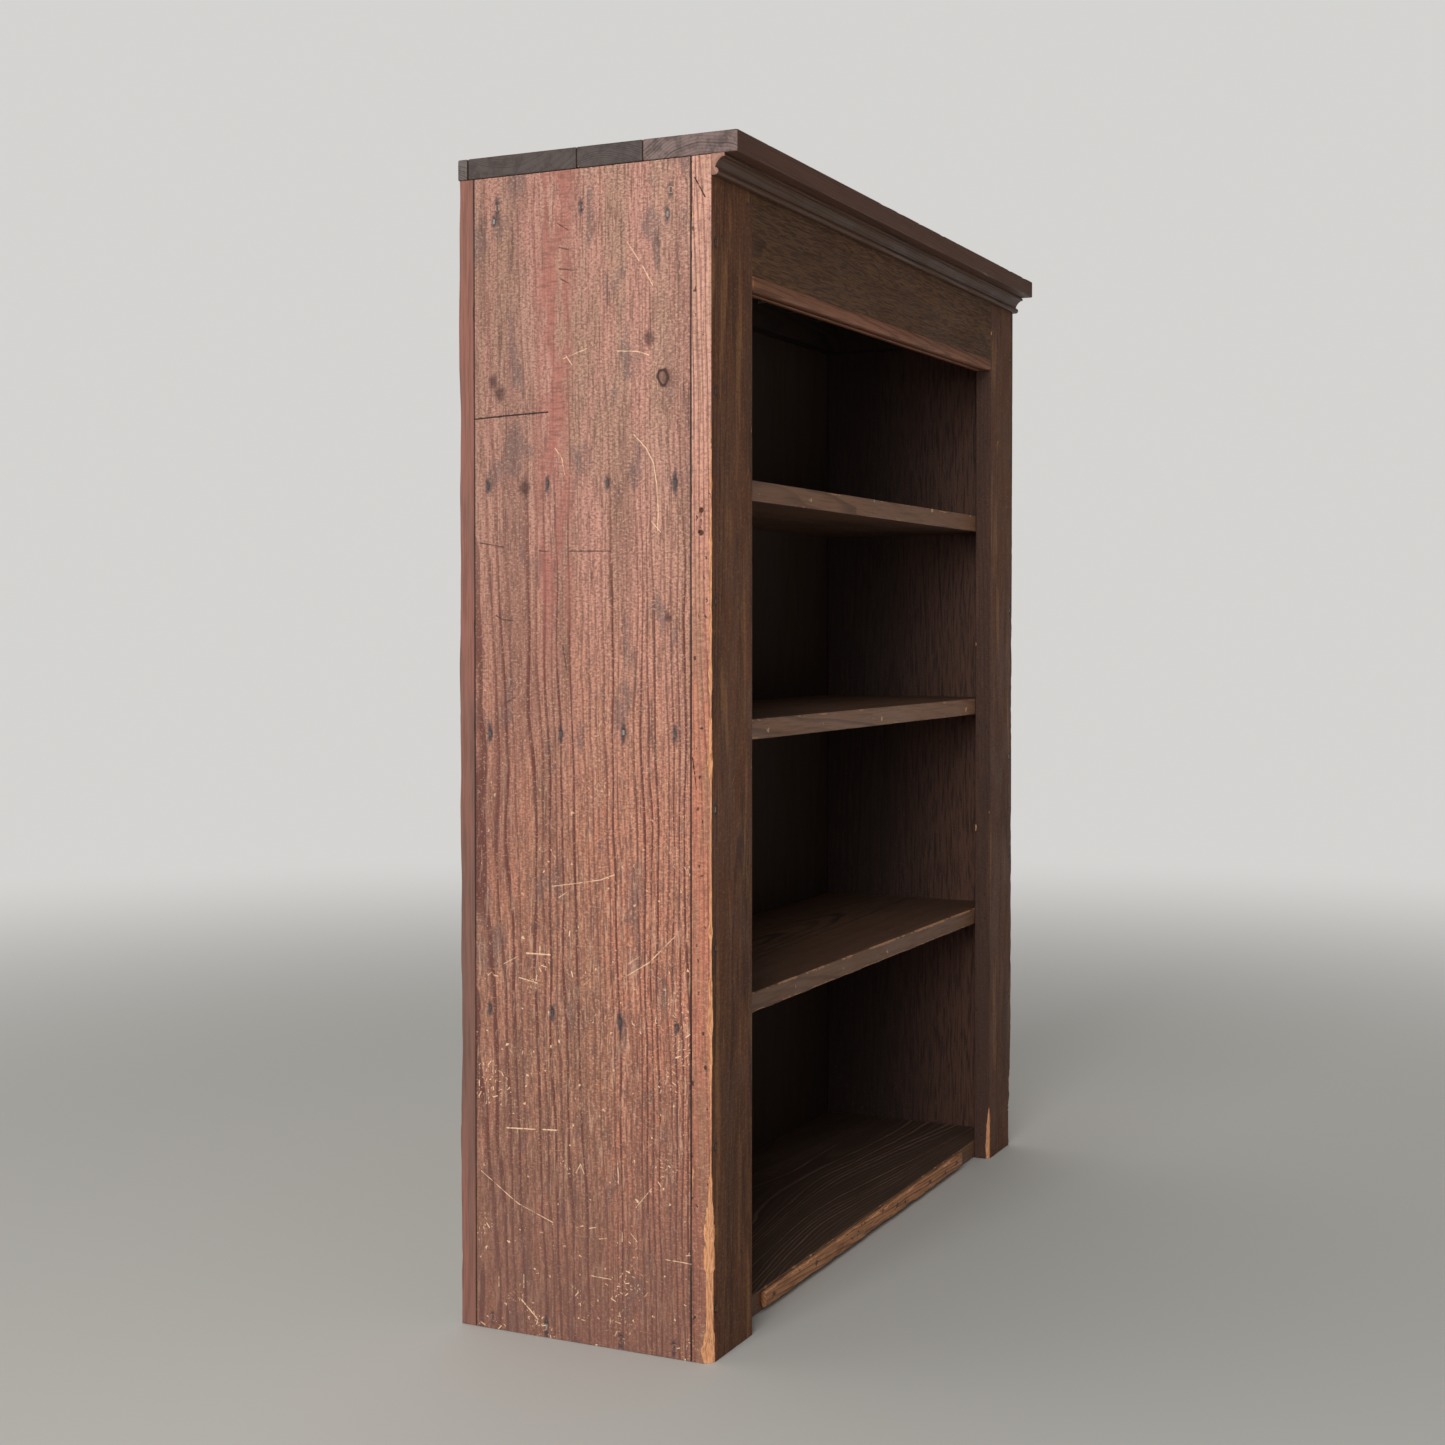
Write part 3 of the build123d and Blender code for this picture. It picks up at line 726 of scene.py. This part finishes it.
def stile_finish(name, low, high, outer, seed):
    """A stile's dark varnished face, and its outer edge faded like the side board."""
    wood = Finish(name, low, high, seed=seed)
    wood.rings((0.03, 0.11), 0.0048, DARK_BROWN, DARKER_BROWN, strength=0.8)
    wood.cloud(9.0, 8.0, DARKER_BROWN, 0.6, 0.45, 0.7)
    wood.cloud(40.0, 8.0, VARNISH_BLACK, 0.6, 0.52, 0.68)
    wood.fibres(480.0, 30.0, DARKER_BROWN, 0.6)
    wood.lay(wood.ease(wood.z, 0.80, 1.25), DARKER_BROWN, 0.22)
    wood.cloud(60.0, 12.0, GOLDEN_FLECK, 0.45, 0.56, 0.68)
    wood.fibres(700.0, 18.0, GOLDEN_FLECK, 0.4, 0.03, 0.56, 0.68)
    wood.crackle(300.0, DARKER_BROWN, GOLDEN_FLECK, 0.35)
    wood.hairlines(8.0, GOLDEN_FLECK, 0.7)
    inner = low.x + high.x - outer
    # Painted shade: the inner face, towards the bays, is laid darker.
    wood.lay(wood.ease(wood.gap(wood.x, inner), 0.002, 0.0008), INNER_SHADE_BROWN, 0.75)
    outside = wood.ease(wood.gap(wood.x, outer), 0.0016, 0.0006)
    wood.lay(outside, wood.mix(wood.ease(wood.z, 0.65, 1.2), EDGE_REDDENED, EDGE_FADED), 0.96)
    wood.lay(wood.times(wood.late, outside), LATE_RED, 0.5)
    wood.lay(wood.times(outside, wood.ease(wood.z, 0.45, 0.06)), BROWN_SHADE, 0.6)
    wood.fibres(380.0, 24.0, FIBRE_BROWN, 0.5, 0.05, 0.48, 0.63, outside)
    wood.fibres(70.0, 12.0, OLIVE, 0.45, 0.0, 0.48, 0.62, outside)
    wood.crackle(380.0, CHECK_BROWN, PALE_FIBRE, 0.4, outside)
    wood.specks(110.0, PIT_BLACK, 0.85, 0.2, 1.6)
    return wood


# Where a staple was pulled from the left stile's edge, and the splits beside it.
STAPLE_HOLES = [on_left(13, 984), on_left(13, 958)]
STILE_CRACKS = lines_on_left(
    [(13, 981), (13, 961)],
    [(21, 1364), (8, 1341)],
    [(24, 700), (19, 664)],
)

for side, name in ((-1, "left_front_stile"), (1, "right_front_stile")):
    low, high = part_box(name)
    outer = low.x if side < 0 else high.x
    corner = Vector((outer, low.y, 0))
    inner_corner = Vector((low.x + high.x - outer, low.y, 0))
    loops = [(corner + Vector((-side * inset, 0, 0)), "X") for inset in FINE_LOOPS]
    loops += [(corner + Vector((0, inset, 0)), "Y") for inset in FINE_LOOPS]
    bm = plank(low, high, (0.006, 0.005, 0.0035), loops=loops)
    weather(bm, low, high, "Z", 0.0005, 3.0 + side)
    knock_arrises(bm, low, high, "Z", 0.0006, 5.0 + side, 0.03)
    wear_corner(bm, corner, Vector((-side, 1, 0)), 7.0 + side, 0.0105, 0.19, 0.0031)
    if side > 0:
        wear_corner(bm, inner_corner, Vector((side, 1, 0)), 12.0, 0.0075, 0.085, 0.0003)
    if side < 0:
        dent_round_nails(bm, STAPLE_HOLES, 0, -1, 0.0025, 0.0032)
        stain_round_nails(bm, STAPLE_HOLES, "Z", 0.0075, 0.0042)
        carve(bm, STILE_CRACKS, 0.0015, 0.0006, 0, -1, "crack")
    heads = [head for head in nail_heads("stile_nails", 1, -1) if head.x * side > 0]
    dent_round_nails(bm, heads, 1, -1)
    stain_round_nails(bm, heads, "Z", 0.02, 0.006)
    wood = stile_finish(name + "_wood", low, high, outer, 6.0 + side)
    wood.iron_stain(IRON_BLACK)
    wood.lay(wood.ease(wood.painted("crack"), 0.1, 0.6), CRACK_BLACK, 0.92)
    wood.bare_wood(RAW_TAN, RAW_DARK)
    show(name + "_worn", bm, wood.close(0.58, 0.08, 0.2), "face_frame", name)


# ------------------------------------------------------------------------------------------
# Frieze: the board between the stiles, planed across its grain so that it ripples, with a
# sloping lower joint. Its strip below has a rounded front edge and a quirk underneath.

FRIEZE_BROWN, FRIEZE_DARK = (0.166, 0.080, 0.038), (0.080, 0.038, 0.021)
RIPPLE_TROUGH_SHADE = (0.040, 0.019, 0.011)
STRIP_BROWN = (0.24, 0.102, 0.052)


def lowest_near(node, x):
    """A CAD node's lowest height at an end."""
    return min(v.co.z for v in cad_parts[node].data.vertices if abs(v.co.x - x) < 1e-4)


def slope_to(bm, low, high, right_lift):
    """Lifts a board's lower edge towards the right, leaving its upper edge where it is."""
    for vert in bm.verts:
        share = (vert.co.x - low.x) / (high.x - low.x)
        vert.co.z += right_lift * share * (high.z - vert.co.z) / (high.z - low.z)


frieze_low, frieze_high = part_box("frieze_board")
frieze_lift = lowest_near("frieze_board", frieze_high.x) - frieze_low.z
bm = plank(frieze_low, frieze_high, (FACE_CELL, FACE_CELL, 0.004))
weather(bm, frieze_low, frieze_high, "X", 0.0005, 8.0)
slope_to(bm, frieze_low, frieze_high, frieze_lift)
wood = Finish("frieze_wood", frieze_low, frieze_high, "X", 8.0)
wood.rings((0.02, -0.10), 0.0042, FRIEZE_BROWN, FRIEZE_DARK, strength=0.6, wander=0.006)
wood.cloud(10.0, 6.0, FRIEZE_DARK, 0.35)
wood.fibres(420.0, 14.0, FRIEZE_DARK, 0.5, 0.1)
ripple = wood.noise(360.0, 11.0, 1.0, 0.5, twist=0.8)
wood.emboss(ripple, 1.3)
# Painted shade: the ripples' troughs are laid darker.
wood.lay(wood.ease(ripple, 0.58, 0.38), RIPPLE_TROUGH_SHADE, 0.6)
show("frieze_rippled", bm, wood.close(0.6, 0.08, 0.15), "face_frame", "frieze_board")

strip_low, strip_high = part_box("frieze_bottom_strip")
STRIP_ROUND, QUIRK_FRONT, QUIRK_BACK, QUIRK_DEPTH = 0.005, 0.014, 0.0156, 0.0016
bm = block(strip_low, Vector((strip_high.x, strip_high.y, frieze_low.z)))
front_low = [
    e for e in bm.edges if all(v.co.y < -0.14 and v.co.z < strip_low.z + 0.001 for v in e.verts)
]
ease_arrises(bm, front_low, STRIP_ROUND, 5)
for inset in (QUIRK_FRONT, QUIRK_BACK):
    loop_across(bm, Vector((0, STILE_FRONT + inset, 0)), "Y")
quirk = [
    f for f in bm.faces
    if f.normal.z < -0.9 and QUIRK_FRONT < f.calc_center_median().y - STILE_FRONT < QUIRK_BACK
]
bmesh.ops.inset_region(bm, faces=quirk, thickness=0.0001, depth=-QUIRK_DEPTH, use_even_offset=True)
loop_across(bm, Vector((0, STILE_FRONT + 0.002, 0)), "Y")
cut_along(bm, AXES["X"], FACE_CELL)
weather(bm, strip_low, strip_high, "X", 0.0003, 9.0)
slope = frieze_lift / (strip_high.x - strip_low.x)
for vert in bm.verts:
    vert.co.z += slope * (vert.co.x - strip_low.x)
wood = Finish("strip_wood", strip_low, strip_high, "X", 9.0)
wood.rings((0.03, -0.06), 0.004, STRIP_BROWN, DARKER_BROWN, strength=0.7)
wood.cloud(14.0, 10.0, REDDENED, 0.35)
wood.fibres(500.0, 24.0, DARKER_BROWN, 0.5)
wood.specks(80.0, SCRATCH_TAN, 0.5, 0.12)
show("strip_rounded", bm, wood.close(0.55, 0.08, 0.2), "frieze_strip", "frieze_bottom_strip")


# ------------------------------------------------------------------------------------------
# Crown: a small moulding under the top's overhang, a fillet, a cove and a bead, stuck along
# its whole length with a moulding plane. Its cut ends have faded like the sides.

CROWN_BROWN, CROWN_DARK = (0.114, 0.054, 0.030), (0.055, 0.029, 0.018)


def extend(bm, vert, y, z):
    """Draws an outline on from a vertex to a point."""
    made = bmesh.ops.extrude_vert_indiv(bm, verts=[vert])["verts"][0]
    made.co.y, made.co.z = y, z
    return made


def turn_round(bm, vert, y, z, degrees, steps):
    """Draws an outline on from a vertex, round a centre."""
    made = bmesh.ops.spin(
        bm, geom=[vert], cent=(vert.co.x, y, z), axis=AXES["X"], dvec=(0, 0, 0),
        angle=math.radians(degrees), steps=steps, use_merge=False, use_duplicate=False,
    )["geom_last"]
    return next(v for v in made if isinstance(v, bmesh.types.BMVert))


low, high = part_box("crown_moulding")
FILLET, STEP, COVE_SAG, BEAD_RADIUS, BEAD_CENTRE = 0.0041, 0.0026, 0.00174, 0.0041, 0.0047
cove_top = Vector((0, low.y + STEP, high.z - FILLET))
cove_foot = Vector((0, high.y - BEAD_CENTRE, low.z + 2 * BEAD_RADIUS))
chord = cove_foot - cove_top
cove_radius = (chord.length ** 2 / 4 + COVE_SAG ** 2) / (2 * COVE_SAG)
cove_side = chord.cross(AXES["X"]).normalized()
cove_centre = (cove_top + cove_foot) / 2 + cove_side * (cove_radius - COVE_SAG)
cove_sweep = 2 * math.degrees(math.asin(chord.length / 2 / cove_radius))

bm = bmesh.new()
first = bm.verts.new((low.x, high.y, low.z))
vert = extend(bm, first, high.y, high.z)
vert = extend(bm, vert, low.y, high.z)
vert = extend(bm, vert, low.y, cove_top.z)
vert = extend(bm, vert, cove_top.y, cove_top.z)
vert = turn_round(bm, vert, cove_centre.y, cove_centre.z, -cove_sweep, 7)
vert = turn_round(bm, vert, cove_foot.y, low.z + BEAD_RADIUS, 180, 8)
bm.edges.new((vert, first))
bmesh.ops.contextual_create(bm, geom=list(bm.edges))
draw_out(bm, Vector((high.x - low.x, 0, 0)))
corners = [
    e for e in bm.edges
    if abs((e.verts[1].co - e.verts[0].co).normalized().x) > 0.99 and e.calc_face_angle(0) > 1.0
]
ease_arrises(bm, corners, 0.0005)
for inset in (HOLDING_LOOP, high.x - low.x - HOLDING_LOOP):
    loop_across(bm, low + AXES["X"] * inset, "X")
cut_along(bm, AXES["X"], FACE_CELL)
knock_arrises(bm, low, high, "X", 0.0006, 10.0, 0.05)
wood = Finish("crown_wood", low, high, "X", 10.0)
wood.rings((0.03, 0.05), 0.004, CROWN_BROWN, CROWN_DARK, strength=0.7)
wood.cloud(14.0, 12.0, CROWN_DARK, 0.5)
wood.fibres(520.0, 30.0, CROWN_DARK, 0.5)
wood.specks(90.0, SCRATCH_TAN, 0.4, 0.10)
ends = wood.ease(wood.calc("ABSOLUTE", wood.x), high.x - 0.0012, high.x - 0.0004)
wood.lay(ends, FADED, 0.7)
wood.bare_wood(RAW_TAN, RAW_DARK, 0.95, 1.1)
show("crown_stuck", bm, wood.close(0.5, 0.08, 0.2), "crown", "crown_moulding")


# ------------------------------------------------------------------------------------------
# Top: three boards laid side by side over the carcase, shrunk apart, and a strip over the
# back boards. Their sawn ends at the sides have weathered grey, and dust lies on top.

TOP_BROWN, TOP_DARK = (0.128, 0.054, 0.031), (0.070, 0.033, 0.022)
END_GREY, END_DARK = (0.086, 0.069, 0.065), (0.034, 0.027, 0.025)
END_PINK, STRIP_END = (0.215, 0.148, 0.138), (0.15, 0.125, 0.115)
TOP_DUST, TOP_BARE = (0.30, 0.25, 0.20), (0.36, 0.20, 0.12)
top_heads = nail_heads("top_board_nails", 2, 1)
TOP_ENDS = {
    "top_board_front": (END_PINK, (0.10, -0.02), 0.0036),
    "top_board_middle": (END_GREY, (0.09, 0.01), 0.0026),
    "top_board_rear": (END_GREY, (-0.12, 0.02), 0.0022),
    "top_back_strip": (STRIP_END, (0.05, 0.02), 0.0026),
}
for number, (name, (end_colour, pith, ring)) in enumerate(TOP_ENDS.items()):
    low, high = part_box(name)
    bm = plank(low, high, (0.008, 0.006, 0.005), 0.0018)
    weather(bm, low, high, "X", 0.0004, 11.0 + number)
    knock_arrises(bm, low, high, "X", 0.0010, 11.0 + number, 0.12)
    heads = [h for h in top_heads if low.y < h.y < high.y]
    dent_round_nails(bm, heads, 2, 1)
    stain_round_nails(bm, heads, "X", 0.02, 0.006)
    wood = Finish(name + "_wood", low, high, "X", 11.0 + number)
    wood.rings(pith, ring, TOP_BROWN, TOP_DARK, strength=0.7)
    wood.cloud(8.0, 8.0, TOP_DARK, 0.5)
    wood.fibres(460.0, 26.0, TOP_DARK, 0.5)
    dusty = wood.ease(wood.z, high.z - 0.002, high.z - 0.0005)
    wood.lay(wood.times(dusty, wood.ease(wood.noise(12.0, 2.0, 4.0, 0.6), 0.3, 0.7)), TOP_DUST, 0.4)
    ends = wood.ease(wood.calc("ABSOLUTE", wood.x), high.x - 0.0016, high.x - 0.0006)
    sawn = wood.mix(wood.times(wood.late, 0.55), end_colour, END_DARK)
    dirt = wood.ease(wood.noise(90.0, 1.0, 4.0, 0.65), 0.42, 0.66)
    sawn = wood.mix(wood.times(dirt, 0.6), sawn, END_DARK)
    wood.lay(ends, sawn, 0.92)
    wood.iron_stain(IRON_BLACK)
    wood.bare_wood(TOP_BARE, END_DARK, 0.9, 1.05)
    show(name + "_weathered", bm, wood.close(0.6, 0.08, 0.35), "top_boards", name)


# ------------------------------------------------------------------------------------------
# Shelves and bottom board: planed boards in the sides' housings. Their fronts are faded and
# their upper arrises rubbed; their tops are dark with old varnish worn through to the grain.

SHELF_BROWN, SHELF_DARK = (0.165, 0.080, 0.048), (0.055, 0.029, 0.019)
FRONT_FADED, SHELF_BARE = (0.270, 0.138, 0.080), (0.52, 0.29, 0.16)
BOARD_DARK, BOARD_PALE = (0.070, 0.038, 0.026), (0.26, 0.155, 0.105)
# How light each board's faded front is.
FRONT_TONES = {"shelf_upper": 1.1, "shelf_middle": 1.2, "shelf_lower": 0.88, "bottom_board": 1.0}

for number, name in enumerate(SHELVES):
    low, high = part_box(name)
    loops = [(low + AXES["Y"] * inset, "Y") for inset in (0.001, 0.004)]
    bm = plank(low, high, (0.006, 0.009, 0.0045), 0.0011, loops)
    weather(bm, low, high, "X", 0.0004, 16.0 + number)
    often = 0.45 if name == "shelf_lower" else 0.16
    knock_arrises(bm, low, high, "X", 0.0011, 16.0 + number, often)
    wood = Finish(name + "_wood", low, high, "X", 16.0 + number)
    if name == "bottom_board":
        # Cut close to the bark, so its rings show as contours, rubbed pale on dark varnish.
        wood.rings((0.30, 0.02), 0.0030, BOARD_DARK, BOARD_PALE, strength=0.8, wander=0.14, taper=0.0)
    else:
        wood.rings((0.055, 0.02), 0.0046, SHELF_BROWN, SHELF_DARK, strength=0.85, taper=0.03)
    wood.cloud(6.0, 3.0, SHELF_DARK, 0.6)
    wood.fibres(450.0, 22.0, SHELF_DARK, 0.4)
    front = wood.ease(wood.y, low.y + 0.0030, low.y + 0.0008)
    front_colour = Vector(FRONT_FADED) * FRONT_TONES[name]
    faded = wood.mix(wood.times(wood.late, 0.5), front_colour, SHELF_BROWN)
    wood.lay(front, faded, 0.8)
    wood.fibres(520.0, 30.0, SHELF_DARK, 0.35, 0.03)
    wood.lay(wood.ease(wood.z, high.z - 0.002, high.z - 0.0005), TOP_DUST, 0.06)
    wood.specks(70.0, SCRATCH_TAN, 0.5, 0.25, share=front)
    wood.bare_wood(SHELF_BARE, RAW_DARK, 0.82, 1.0)
    show(name + "_worn", bm, wood.close(0.52, 0.08, 0.25), "shelves", name)


# ------------------------------------------------------------------------------------------
# Toe strip: a thin strip pinned to the front edge of the bottom board, worn to raw wood.

TOE_ORANGE, TOE_BROWN = (0.62, 0.285, 0.130), (0.30, 0.125, 0.060)

TOE_CORNER, TOE_ARRIS = 0.0036, 0.0014

low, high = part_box("toe_strip")
bm = block(low, high)
end_corners = [
    e for e in bm.edges
    if e.verts[0].co.y < low.y + 1e-5 and abs(e.verts[0].co.z - e.verts[1].co.z) > 0.01
]
ease_arrises(bm, end_corners, TOE_CORNER, 4)
long_edges = [
    e for e in bm.edges
    if abs(e.verts[0].co.z - e.verts[1].co.z) < 1e-5 and e.verts[0].co.y < high.y - 1e-5
]
ease_arrises(bm, long_edges, TOE_ARRIS)
into_cells(bm, low, high, (0.004, 0.004, 0.004))
weather(bm, low, high, "X", 0.0004, 21.0)
knock_arrises(bm, low, high, "X", 0.0014, 21.0, 0.3)
heads = nail_heads("toe_strip_brads", 1, -1)
dent_round_nails(bm, heads, 1, -1, 0.0010, 0.0045)
stain_round_nails(bm, heads, "X", 0.012, 0.005)
wood = Finish("toe_strip_wood", low, high, "X", 21.0)
wood.rings((0.02, 0.03), 0.0032, TOE_ORANGE, TOE_BROWN, strength=0.8)
wood.cloud(16.0, 6.0, TOE_BROWN, 0.7)
wood.cloud(40.0, 3.0, DARKER_BROWN, 0.4, 0.54, 0.7)
wood.fibres(500.0, 20.0, DARKER_BROWN, 0.5)
wood.specks(90.0, DARKER_BROWN, 0.8, 0.3)
wood.iron_stain(IRON_BLACK)
wood.bare_wood(RAW_TAN, RAW_DARK, 0.8, 1.0)
show("toe_strip_worn", bm, wood.close(0.6, 0.08, 0.35), "toe_strip", "toe_strip")


# ------------------------------------------------------------------------------------------
# Back boards: tongued and grooved boards nailed upright across the back, left as bare sawn wood,
# now grey-brown, on the outside, with their inside faces laid near-black as painted shade. Here
# each is a plain plank that runs into the next by a tongue's depth, so that no light comes through.

BACK_RAW, BACK_LATE = (0.30, 0.185, 0.115), (0.155, 0.082, 0.050)
BACK_GREY = (0.22, 0.175, 0.140)
BACK_INSIDE_SHADE, TONGUE = (0.024, 0.013, 0.010), 0.0030
EDGE_RED, EDGE_BROWN = (0.29, 0.122, 0.094), (0.19, 0.098, 0.078)
back_heads = nail_heads("back_board_nails", 1, 1)
back_names = [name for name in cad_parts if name.startswith("back_board_")]
back_boards = sorted(name for name in back_names if "nails" not in name)


def wavy_edge(bm, low, high):
    """Lets the left-hand board's rear corner wander in and out, as it was split and dressed."""
    for vert in bm.verts:
        wave = 0.5 + noise.noise(Vector((0, 3, vert.co.z * 7)))
        wave += 0.3 * noise.noise(Vector((0, 8, vert.co.z * 23)))
        fade = max(0.0, 1 - (vert.co.x - low.x) / 0.03)
        share = (vert.co.y - low.y) / (high.y - low.y)
        vert.co.y -= 0.0032 * max(0.0, wave) * fade * share


for number, name in enumerate(back_boards):
    low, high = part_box(name)
    if number + 1 < len(back_boards):
        high.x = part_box(back_boards[number + 1])[0].x + TONGUE
    bm = plank(low, high, (0.009, 0.011, 0.009), 0.0012)
    weather(bm, low, high, "Z", 0.0006, 30.0 + number)
    knock_arrises(bm, low, high, "Z", 0.0007, 30.0 + number, 0.1)
    if number == 0:
        wavy_edge(bm, low, high)
    heads = [h for h in back_heads if low.x - 0.006 < h.x < high.x + 0.006]
    dent_round_nails(bm, heads, 1, 1)
    stain_round_nails(bm, heads, "Z", 0.03, 0.008)
    wood = Finish(name + "_wood", low, high, seed=30.0 + number)
    pith = ((number % 3 - 1) * 0.03, 0.05 + 0.01 * (number % 4))
    wood.rings(pith, 0.0052, BACK_RAW, BACK_LATE, strength=0.75)
    wood.cloud(6.0, 4.0, BACK_GREY, 0.8, 0.40, 0.65)
    wood.cloud(25.0, 9.0, BACK_LATE, 0.5)
    wood.fibres(400.0, 24.0, BACK_LATE, 0.5)
    # Painted shade: the inside face is laid near-black.
    inside = wood.ease(wood.y, low.y + 0.004, low.y + 0.002)
    wood.lay(inside, BACK_INSIDE_SHADE, 0.9)
    outer = cad_box[1].x
    outer_edge = wood.ease(wood.calc("ABSOLUTE", wood.x), outer - 0.0015, outer - 0.0004)
    streaks = wood.ease(wood.noise(30.0, 9.0, 3.0), 0.4, 0.62)
    wood.lay(outer_edge, wood.mix(streaks, EDGE_RED, EDGE_BROWN), 0.92)
    wood.fibres(400.0, 30.0, FIBRE_BROWN, 0.5, 0.05, 0.47, 0.62, outer_edge)
    wood.iron_stain(IRON_BLACK)
    show(name + "_sawn", bm, wood.close(0.7, 0.06, 0.25), "back_boards", name)


# ------------------------------------------------------------------------------------------
# Cleats: sawn battens under the top, hidden in the dark behind the frieze, their wood laid
# near-black as painted shade. Nails: cut iron nails, rusted dark, with some heads laid lighter
# as a painted glint.

# Painted shade: the cleats' wood is laid near-black, as dark as the shade they sit in.
CLEAT_SHADE_BROWN, CLEAT_SHADE_DARK = (0.035, 0.02, 0.014), (0.018, 0.011, 0.008)
low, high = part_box("rear_top_cleat")
wood = Finish("cleat_wood", low, high, "X", 50.0)
wood.rings((0.03, 0.04), 0.0044, CLEAT_SHADE_BROWN, CLEAT_SHADE_DARK)
wood.fibres(450.0, 24.0, CLEAT_SHADE_BROWN, 0.5)
cleat_material = wood.close(0.65, 0.06, 0.3)
for name in ("left_top_cleat", "right_top_cleat", "rear_top_cleat"):
    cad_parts[name].material_slots[0].material = cleat_material

IRON_GREY, RUST = (0.10, 0.09, 0.092), (0.045, 0.028, 0.024)
IRON_GLINT = (0.30, 0.285, 0.27)
iron = Finish("cut_iron", Vector(), Vector(), seed=60.0)
iron.colour = iron.mix(iron.ease(iron.noise(700.0, 1.0, 3.0, 0.6), 0.42, 0.6), IRON_GREY, RUST)
# Painted glint: a lighter iron laid on some nail heads stands for the highlight on them.
iron.lay(iron.ease(iron.noise(23.0, 1.0, 1.0), 0.56, 0.62), IRON_GLINT, 0.8)
iron.emboss(iron.noise(900.0, 1.0, 3.0, 0.6), 0.12)
iron_material = iron.close(0.42, 0.1, 0.6)
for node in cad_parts.values():
    if node.name.endswith(("_nails", "_brads")):
        node.material_slots[0].material = iron_material


# ------------------------------------------------------------------------------------------
# Studio: a plain pale floor that melts into the backdrop, a large soft light to the left, and
# the camera.

FLOOR_REACH, FADE_FROM, FADE_TO, BACKDROP = 60.0, 1.2, 5.0, 0.66
FLOOR_PALE, BACKDROP_WHITE = (0.60, 0.59, 0.56), (1.0, 0.99, 0.965)
bm = bmesh.new()
bmesh.ops.create_grid(bm, x_segments=1, y_segments=1, size=FLOOR_REACH)
floor_mesh = bpy.data.meshes.new("studio_floor")
bm.to_mesh(floor_mesh)
bm.free()
floor = bpy.data.objects.new("studio_floor", floor_mesh)
bpy.context.scene.collection.objects.link(floor)
pale = Finish("pale_floor", Vector(), Vector(), seed=70.0)
distance = pale.vector("LENGTH", pale.here)
near = pale.node("BsdfPrincipled", {"Base Color": FLOOR_PALE, "Roughness": 0.8}).outputs[0]
far = pale.node("Emission", {"Color": BACKDROP_WHITE, "Strength": BACKDROP}).outputs[0]
fade = pale.ease(distance, FADE_FROM, FADE_TO)
sweep = pale.node("MixShader", {0: fade, 1: near, 2: far}).outputs[0]
pale.node("OutputMaterial", {"Surface": sweep})
floor_mesh.materials.append(pale.material)


def soft_light(name, place, towards, size, power, colour):
    """A square soft light that faces a point."""
    data = bpy.data.lights.new(name, "AREA")
    data.shape = "RECTANGLE"
    data.size, data.size_y = size
    data.energy = power
    data.color = colour
    light = bpy.data.objects.new(name, data)
    light.location = place
    light.rotation_euler = (Vector(towards) - Vector(place)).to_track_quat("-Z", "Y").to_euler()
    bpy.context.scene.collection.objects.link(light)


LIGHT_PLACE, LIGHT_TOWARDS, LIGHT_SIZE = (-6.4, -0.88, 2.9), (-0.5, 0.0, 0.75), (3.8, 4.0)
soft_light("left_window", LIGHT_PLACE, LIGHT_TOWARDS, LIGHT_SIZE, 345.0, (1.0, 0.985, 0.96))

# The room is brighter behind the bookcase and above it than in front of it; what shows behind
# it is one plain pale tone.
world = bpy.data.worlds.new("studio")
world.use_nodes = True
bpy.context.scene.world = world
room = world.node_tree
ROOM_DIM, ROOM_BEHIND, ROOM_ABOVE = 0.076, 0.46, 0.22


def room_node(kind, values, **settings):
    """A node of the room's tree with its settings, and each input linked or set."""
    made = room.nodes.new("ShaderNode" + kind)
    for key, value in settings.items():
        setattr(made, key, value)
    for key, value in values.items():
        if isinstance(value, bpy.types.NodeSocket):
            room.links.new(value, made.inputs[key])
        else:
            made.inputs[key].default_value = value
    return made


direction = room_node("TexCoord", {}).outputs["Generated"]
behind = room_node("VectorMath", {0: direction, 1: (0.45, 0.893, 0.0)}, operation="DOT_PRODUCT")
values = {0: behind.outputs["Value"], 1: 0.1, 2: 0.5, 3: ROOM_DIM, 4: ROOM_BEHIND}
behind = room_node("MapRange", values)
above = room_node("SeparateXYZ", {0: direction}).outputs[2]
above = room_node("MapRange", {0: above, 1: 0.1, 2: 0.8, 3: 0.0, 4: ROOM_ABOVE})
glow = room_node("Math", {0: behind.outputs[0], 1: above.outputs[0]}, operation="ADD")
seen = room_node("LightPath", {}).outputs["Is Camera Ray"]
glow = room_node("Mix", {0: seen, 2: glow.outputs[0], 3: BACKDROP}, data_type="FLOAT")
background = room.nodes["Background"]
background.inputs["Color"].default_value = (*BACKDROP_WHITE, 1)
room.links.new(glow.outputs[0], background.inputs["Strength"])

bpy.context.scene.view_settings.view_transform = "Standard"

LENS, SENSOR, SHIFT_UP = 51.51, 36.0, -0.0346
CAMERA_PLACE, CAMERA_PITCH, CAMERA_TURN = (-2.7032, -1.1760, 0.8454), 90 - 1.144, -64.685
camera_data = bpy.data.cameras.new("camera")
camera_data.lens = LENS
camera_data.sensor_width = SENSOR
camera_data.shift_y = SHIFT_UP
camera = bpy.data.objects.new("camera", camera_data)
camera.location = CAMERA_PLACE
camera.rotation_euler = (math.radians(CAMERA_PITCH), 0, math.radians(CAMERA_TURN))
bpy.context.scene.collection.objects.link(camera)
bpy.context.scene.camera = camera
